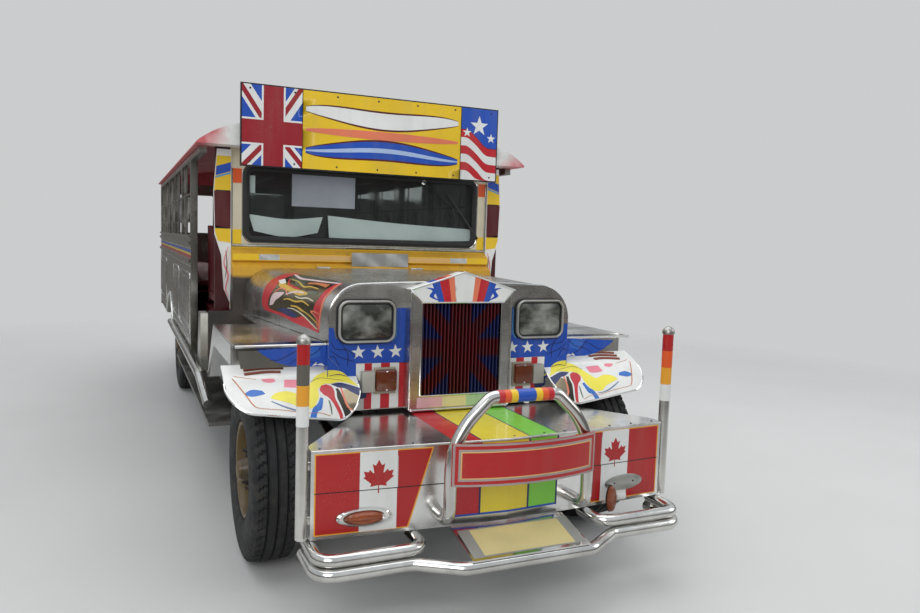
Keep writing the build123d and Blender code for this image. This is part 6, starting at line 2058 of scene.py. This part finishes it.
def diamond_panel(side, y, z):
    """A pressed stainless panel: ridges 6 mm * (1 - |a + b - 1|) high on a diamond lattice.

    a and b are twice the distances from a cell's middle lines, in pitches.
    """
    rows, columns = 25, 2 * int((y[1] - y[0]) / 0.013) + 1
    yy, zz = np.meshgrid(np.linspace(*y, columns), np.linspace(*z, rows))
    pitch = 0.104
    a = np.abs(((yy - y[0]) / pitch) % 1.0 - 0.5) * 2
    b = np.abs(((zz - z[0]) / pitch) % 1.0 - 0.5) * 2
    rise = 0.006 * np.clip(1 - np.abs(a + b - 1), 0, 1)
    outer = xyz(side * (BODY_X + 0.001 + rise), yy, zz)
    inner = xyz(side * (BODY_X - 0.001), yy, zz)
    return plate(outer, inner, stainless())


class JEEPNEY_OT_roof(bpy.types.Operator):
    """Drip rail, red line, ribs and visor edge of the roof"""

    bl_idname = "jeepney.roof"
    bl_label = "Roof"

    def execute(self, context):
        first, last = low("roof"), high("roof")
        run = np.linspace(first.y + 0.01, last.y - 0.01, 12)
        parts = []
        for side in (LEFT, RIGHT):
            path = xyz(side * (last.x - 0.0065), run, 1.892)
            parts.append(tube(path, 0.006, bright(), 8, across=UP))
            line = xyz(side * (last.x - 0.018), run, 1.9065)
            parts.append(tube(line, 0.004, paint("red"), 8, across=UP))
        x = np.linspace(-0.80, 0.80, 33)
        radius = (0.8**2 + 0.092**2) / (2 * 0.092)
        z = 2.090 - radius + np.sqrt(radius**2 - x**2)
        for y in np.linspace(-0.55, last.y - 0.05, 8):
            path = xyz(x, y, z - 0.0005)
            parts.append(tube(path, 0.006, roof_paint(), 8, across=BACK))
        build("roof_trim", parts)
        return {"FINISHED"}


class JEEPNEY_OT_tail(bpy.types.Operator):
    """Doorway edging, window beads, grab handles and step plate of the tail"""

    bl_idname = "jeepney.tail"
    bl_label = "Tail"

    def execute(self, context):
        parts = []
        y = REAR_Y
        door = bent([(-0.336, y, 0.66), (-0.336, y, 1.851), (0.336, y, 1.851), (0.336, y, 0.66)], 0.05)
        parts.append(tube(door, 0.007, bright(), 10, across=BACK))
        for side in (LEFT, RIGHT):
            window = rounded_rectangle(0.194, 0.206, 0.02, 4) + (side * 0.63, 1.5875)
            parts.append(ring_on_front(window, y, 0.006, bright()))
            x = side * 0.385
            handle = bent(
                [(x, y + 0.004, 1.05), (x, y + 0.045, 1.05), (x, y + 0.045, 1.60), (x, y + 0.004, 1.60)], 0.03, 6
            )
            parts.append(tube(handle, 0.011, bright(), 12, across=OUT))
            panel_line = rounded_rectangle(0.225, 0.17, 0.025, 4) + (side * 0.62, 1.12)
            parts.append(ring_on_front(panel_line, y, 0.0055, bright()))
        build("tail_trim", parts)
        panel = Panel(lambda u, v: xyz(u, y, v), BACK)
        for side in (LEFT, RIGHT):
            for colour, z0, z1 in (("red", 1.335, 1.350), ("yellow", 1.354, 1.366)):
                panel.block(span(side, 0.345, 0.965), (z0, z1), colour)
            panel.shape(star(side * 0.62, 1.12, 0.12), "blue", GROUND)
            panel.shape(star(side * 0.62, 1.12, 0.085), "white", SECOND)
            panel.shape(star(side * 0.62, 1.12, 0.05), "crimson", THIRD)
            panel.block(span(side, 0.345, 0.965), (0.645, 0.675), "white", GROUND)
            for number in range(6):
                x0 = 0.35 + number * 0.104
                panel.block(span(side, x0, x0 + 0.052), (0.645, 0.675), "red", SECOND)
        panel.block((-0.30, 0.30), (1.862, 1.892), "yellow")
        panel.done("tail_paint", slot="body_steel")
        return {"FINISHED"}


# Inside


def sewn_cushion(name, centre, half, material, channels, along, crown, cap, lean=0.0):
    """A sewn cushion blown up as cloth: its seams and rim are held, and the panels between them puff out.

    It starts as two broad faces at half - crown * (1 - edge ** 0.45), edge = 1 - max(|a|, |b|) ** 14, with each seam
    dipped by 7 mm * exp(-(distance / 8 mm) ** 2). a and b run from -1 to 1 across a face.
    """
    thin = int(np.argmin(half))
    axes = [i for i in range(3) if i != thin]
    step = 0.0145 if half[along] > 1 else 0.0105
    counts = [max(16, int(2 * half[i] / step)) | 1 for i in axes]
    a, b = np.meshgrid(np.linspace(-1, 1, counts[0]), np.linspace(-1, 1, counts[1]), indexing="ij")
    edge = np.clip(1 - np.maximum(np.abs(a) ** 14, np.abs(b) ** 14), 0, 1)
    run = (a if axes[0] == along else b) * half[along]
    seams = np.linspace(-half[along], half[along], channels + 1)[1:-1]
    gap = np.abs(run[..., None] - seams).min(-1)
    depth = (half[thin] - crown) * (0.35 + 0.65 * edge**0.45) - 0.007 * np.exp(-((gap / 0.008) ** 2)) * edge
    faces = []
    for sign in (1, -1):
        points = np.zeros(a.shape + (3,))
        points[..., axes[0]] = a * (half[axes[0]] - 0.006)
        points[..., axes[1]] = b * (half[axes[1]] - 0.006)
        points[..., thin] = sign * np.maximum(depth, 0.004)
        faces.append(points)
    piece = build(name, [plate(*faces, material)], "root", 60)
    rest = np.empty(len(piece.data.vertices) * 3)
    piece.data.vertices.foreach_get("co", rest)
    rest = rest.reshape(-1, 3)
    near = np.abs(rest[:, along, None] - seams).min(-1) < step * 0.55
    rim = np.maximum(np.abs(rest[:, axes[0]]) / half[axes[0]], np.abs(rest[:, axes[1]]) / half[axes[1]]) > 0.975
    moved = puffed(piece, rest, np.flatnonzero(near | rim), cap)
    moved[:, 1] += moved[:, 2] * lean
    piece.data.vertices.foreach_set("co", (moved + np.asarray(centre)).ravel())
    piece.data.update()
    return piece


def puffed(piece, rest, held, cap):
    """Where cloth under pressure carries each point, with the held points fixed and no move longer than cap."""
    scene = bpy.context.scene
    group = piece.vertex_groups.new(name="seams")
    group.add(held.tolist(), 1.0, "REPLACE")
    cloth = piece.modifiers.new("cloth", "CLOTH")
    settings = cloth.settings
    settings.quality, settings.mass, settings.air_damping = 4, 0.3, 6.0
    settings.tension_stiffness = settings.compression_stiffness = 12.0
    settings.bending_stiffness = 0.6
    settings.vertex_group_mass = "seams"
    settings.use_pressure, settings.uniform_pressure_force = True, 4.0
    settings.effector_weights.gravity = 0.0
    cloth.collision_settings.use_collision = False
    cloth.point_cache.frame_start, cloth.point_cache.frame_end = 1, 20
    for number in range(1, 21):
        scene.frame_set(number)
    solved = piece.evaluated_get(bpy.context.evaluated_depsgraph_get()).to_mesh()
    moved = np.empty(len(rest) * 3)
    solved.vertices.foreach_get("co", moved)
    piece.modifiers.remove(cloth)
    piece.vertex_groups.remove(group)
    scene.frame_set(1)
    move = moved.reshape(-1, 3) - rest
    length = np.linalg.norm(move, axis=1, keepdims=True)
    return rest + move * np.minimum(1, cap / np.maximum(length, 1e-9))


class JEEPNEY_OT_seats(bpy.types.Operator):
    """Sewn bench and cab cushions with their backs"""

    bl_idname = "jeepney.seats"
    bl_label = "Seats"

    def execute(self, context):
        material = vinyl("bench_vinyl", chip("vinyl"))
        front, rear = -0.020, 3.070
        middle, half = (front + rear) / 2, (rear - front) / 2
        for side, name in SIDES:
            sewn_cushion(
                f"bench_{name}", (side * 0.693, middle, 1.0455), (0.184, half, 0.0445), material, 18, 1, 0.012, 0.012
            )
            sewn_cushion(
                f"bench_back_{name}", (side * 0.905, middle, 1.187), (0.0225, half, 0.180), material, 18, 1, 0.007,
                0.006
            )
            sewn_cushion(
                f"cab_seat_{name}", (side * 0.495, -0.550, 0.9905), (0.350, 0.216, 0.0495), material, 5, 0, 0.014,
                0.014
            )
            piece = sewn_cushion(
                f"cab_back_{name}", (side * 0.495, -0.269, 1.200), (0.350, 0.0265, 0.256), material, 5, 0, 0.008,
                0.007, 0.115
            )
        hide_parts("seat_cushions")
        return {"FINISHED"}


class JEEPNEY_OT_cab(bpy.types.Operator):
    """Dials, switches and the gripped steering wheel"""

    bl_idname = "jeepney.cab"
    bl_label = "Cab"

    def execute(self, context):
        shelf = high("dashboard")
        dial_y = shelf.y - 0.012
        face = plain("dial_face", (0.02, 0.02, 0.02), 0.4)
        parts = []
        for x in (0.28, 0.40, 0.52):
            parts.append(
                lathe(
                    [(-0.004, 0.046), (0.006, 0.046), (0.009, 0.041), (0.006, 0.038)], (x, dial_y, 1.180),
                    (0, 1, 0.25), chrome(), 32
                )
            )
            parts.append(
                lathe([(-0.004, 0.036), (0.004, 0.036), (0.0045, 0.030)], (x, dial_y, 1.180), (0, 1, 0.25), face, 32)
            )
            hand = np.array([(x, dial_y + 0.006, 1.180), (x + 0.018, dial_y + 0.006, 1.200)])
            parts.append(tube(np.linspace(hand[0], hand[1], 3), 0.0018, paint("orange"), 6))
        for x in np.linspace(-0.5, 0.1, 6):
            parts.append(
                lathe(
                    [(-0.003, 0.010), (0.012, 0.010), (0.018, 0.007)], (x, dial_y, 1.160), (0, 1, 0.25),
                    black_rubber(), 16
                )
            )
        build("dials", parts)
        grip = plain("wheel_grip", (0.020, 0.019, 0.018), 0.38, grain=300)
        centre, axis = np.array([0.415, -0.830, 1.262]), np.array([0.0, 0.730, 0.597])
        axis /= np.linalg.norm(axis)
        across = np.array([1.0, 0, 0])
        up = np.cross(axis, across)
        turn = np.linspace(0, 2 * math.pi, 240, endpoint=False)
        rim = centre + 0.195 * (np.cos(turn)[:, None] * across + np.sin(turn)[:, None] * up)
        parts = [tube(rim, 0.0122 + 0.0008 * np.cos(turn * 40), grip, 14, closed=True, across=axis)]
        for angle in np.radians((90, 210, 330)):
            out = math.cos(angle) * across + math.sin(angle) * up
            line = np.stack(
                [
                    centre + out * r - axis * 0.012 * math.cos(math.pi / 2 * r / 0.19)
                    for r in np.linspace(0.02, 0.190, 10)
                ]
            )
            parts.append(tube(line, np.linspace(0.011, 0.008, 10), chrome(), 12, flat=0.5, across=axis))
        parts.append(
            lathe(
                [(-0.028, 0.026), (-0.020, 0.034), (0.004, 0.034), (0.012, 0.028), (0.016, 0.016), (0.017, 0.003)],
                centre - axis * 0.006, axis, grip, 32
            )
        )
        build("steering_wheel_ring", parts, "steering_wheel", 40, ("steering_wheel",))
        return {"FINISHED"}


# Stage


class JEEPNEY_OT_stage(bpy.types.Operator):
    """Pale floor, soft lights, plain background and the photograph's camera"""

    bl_idname = "jeepney.stage"
    bl_label = "Stage"

    def execute(self, context):
        scene = context.scene
        scene.view_settings.view_transform = "Standard"
        self.floor(scene)
        # name, place, target, size, watts
        lamps = (
            ("sky_panel", (0.0, -0.5, 7.5), (0, 0, 0), 9.0, 370),
            ("front_panel", (-4.5, -8.0, 4.2), (0, -2.0, 0.9), 4.0, 190),
            ("side_panel_light", (6.5, -4.5, 3.6), (0, -1.0, 1.0), 3.5, 90),
            ("tail_panel_light", (2.0, 8.5, 4.0), (0, 1.0, 1.0), 4.0, 110),
        )
        for name, place, target, size, watts in lamps:
            light = bpy.data.lights.new(name, "AREA")
            light.shape, light.size, light.energy = "SQUARE", size, watts
            lamp = bpy.data.objects.new(name, light)
            way = Vector(target) - Vector(place)
            lamp.matrix_world = Matrix.Translation(place) @ way.to_track_quat("-Z", "Y").to_matrix().to_4x4()
            scene.collection.objects.link(lamp)
        self.sky(scene)
        self.camera(scene)
        return {"FINISHED"}

    def floor(self, scene):
        """A wide floor that fades out from 4 to 7.5 m, so no horizon shows; its shadow stays."""
        f = Finish("stage_floor")
        f.set(Base_Color=f.mix(f.noise(1.2, 5), (0.60, 0.595, 0.58), (0.66, 0.655, 0.64)), Roughness=0.8)
        reach = f.node("VectorMath", {0: f.place}, operation="LENGTH").outputs["Value"]
        clear = f.node("BsdfTransparent", {}).outputs[0]
        mix = f.node("MixShader", {0: f.ramp(reach, 4.0, 7.5), 1: f.shader.outputs[0], 2: clear})
        put(f.tree, f.tree.nodes["Material Output"].inputs["Surface"], mix.outputs[0])
        mesh = bpy.data.meshes.new("floor")
        mesh.from_pydata([(-12, -12, 0), (12, -12, 0), (12, 12, 0), (-12, 12, 0)], [], [(0, 1, 2, 3)])
        mesh.materials.append(f.material)
        floor = bpy.data.objects.new("floor", mesh)
        scene.collection.objects.link(floor)

    def sky(self, scene):
        """Even light on the object, a plain pale backdrop, and a greyer room for mirrors and glass."""
        world = bpy.data.worlds.new("studio")
        scene.world = world
        world.use_nodes = True
        tree = world.node_tree
        light = tree.nodes["Background"]
        put(tree, light.inputs["Color"], (0.88, 0.94, 1.0))
        put(tree, light.inputs["Strength"], 0.50)
        backdrop = add_node(tree, "Background", {"Color": (0.60, 0.605, 0.61)})
        height = add_node(tree, "SeparateXYZ", {0: add_node(tree, "TexCoord").outputs["Generated"]}).outputs["Z"]
        ramp = add_node(tree, "ValToRGB", {0: height})
        stops = (
            (0.0, (0.16, 0.155, 0.15, 1)), (0.09, (0.13, 0.135, 0.13, 1)), (0.16, (0.42, 0.43, 0.44, 1)),
            (0.45, (0.70, 0.73, 0.76, 1)), (1.0, (0.58, 0.63, 0.70, 1)),
        )
        while len(ramp.color_ramp.elements) < len(stops):
            ramp.color_ramp.elements.new(0.5)
        for element, (position, colour) in zip(ramp.color_ramp.elements, stops):
            element.position, element.color = position, colour
        room = add_node(tree, "Background", {"Color": ramp.outputs[0]})
        path = add_node(tree, "LightPath")
        either = add_node(
            tree, "Math", {0: path.outputs["Is Glossy Ray"], 1: path.outputs["Is Transmission Ray"]},
            operation="MAXIMUM",
        )
        mirrors = add_node(tree, "MixShader", {0: either.outputs[0], 1: light.outputs[0], 2: room.outputs[0]})
        seen = {0: path.outputs["Is Camera Ray"], 1: mirrors.outputs[0], 2: backdrop.outputs[0]}
        put(tree, tree.nodes["World Output"].inputs["Surface"], add_node(tree, "MixShader", seen).outputs[0])

    def camera(self, scene):
        """Camera from its yaw, pitch and roll: it looks along -Z of its own axes."""
        settings = sizes()
        yaw, pitch, roll = (math.radians(a) for a in settings.camera_turn)
        look = Vector((math.sin(yaw) * math.cos(pitch), math.cos(yaw) * math.cos(pitch), -math.sin(pitch)))
        right = Vector((math.cos(yaw), -math.sin(yaw), 0))
        down = look.cross(right)
        tilted = math.cos(roll) * right + math.sin(roll) * down
        dropped = -math.sin(roll) * right + math.cos(roll) * down
        data = bpy.data.cameras.new("camera")
        data.sensor_width = 36.0
        data.lens = settings.focal_length
        camera = bpy.data.objects.new("camera", data)
        turn = Matrix((tilted, -dropped, -look)).transposed().to_4x4()
        camera.matrix_world = Matrix.Translation(Vector(settings.camera_place)) @ turn
        scene.collection.objects.link(camera)
        scene.camera = camera


OPERATORS = (
    JEEPNEY_OT_stage,
    JEEPNEY_OT_finishes,
    JEEPNEY_OT_sign,
    JEEPNEY_OT_windscreen,
    JEEPNEY_OT_wings,
    JEEPNEY_OT_hood,
    JEEPNEY_OT_radiator,
    JEEPNEY_OT_lamps,
    JEEPNEY_OT_nose,
    JEEPNEY_OT_flares,
    JEEPNEY_OT_bumper,
    JEEPNEY_OT_tubes,
    JEEPNEY_OT_wheels,
    JEEPNEY_OT_sides,
    JEEPNEY_OT_roof,
    JEEPNEY_OT_tail,
    JEEPNEY_OT_seats,
    JEEPNEY_OT_cab,
)


class JEEPNEY_PT_panel(bpy.types.Panel):
    """Lists the pieces in the 3D view's sidebar"""

    bl_label = "Jeepney"
    bl_idname = "JEEPNEY_PT_panel"
    bl_space_type = "VIEW_3D"
    bl_region_type = "UI"
    bl_category = "Jeepney"

    def draw(self, context):
        for operator in OPERATORS:
            self.layout.operator(operator.bl_idname)


CLASSES = (JeepneyPaints, JeepneySizes, *OPERATORS, JEEPNEY_PT_panel)


def register():
    """Registers the classes and the scene's settings."""
    for item in CLASSES:
        bpy.utils.register_class(item)
    bpy.types.Scene.jeepney_paints = PointerProperty(type=JeepneyPaints)
    bpy.types.Scene.jeepney_sizes = PointerProperty(type=JeepneySizes)


def unregister():
    """Removes the settings and the classes."""
    del bpy.types.Scene.jeepney_sizes
    del bpy.types.Scene.jeepney_paints
    for item in reversed(CLASSES):
        bpy.utils.unregister_class(item)


def main():
    """Dresses the packed frame piece by piece and writes both boxes."""
    register()
    for operator in OPERATORS:
        group, name = operator.bl_idname.split(".")
        getattr(getattr(bpy.ops, group), name)()
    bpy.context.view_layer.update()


if __name__ == "__main__":
    main()
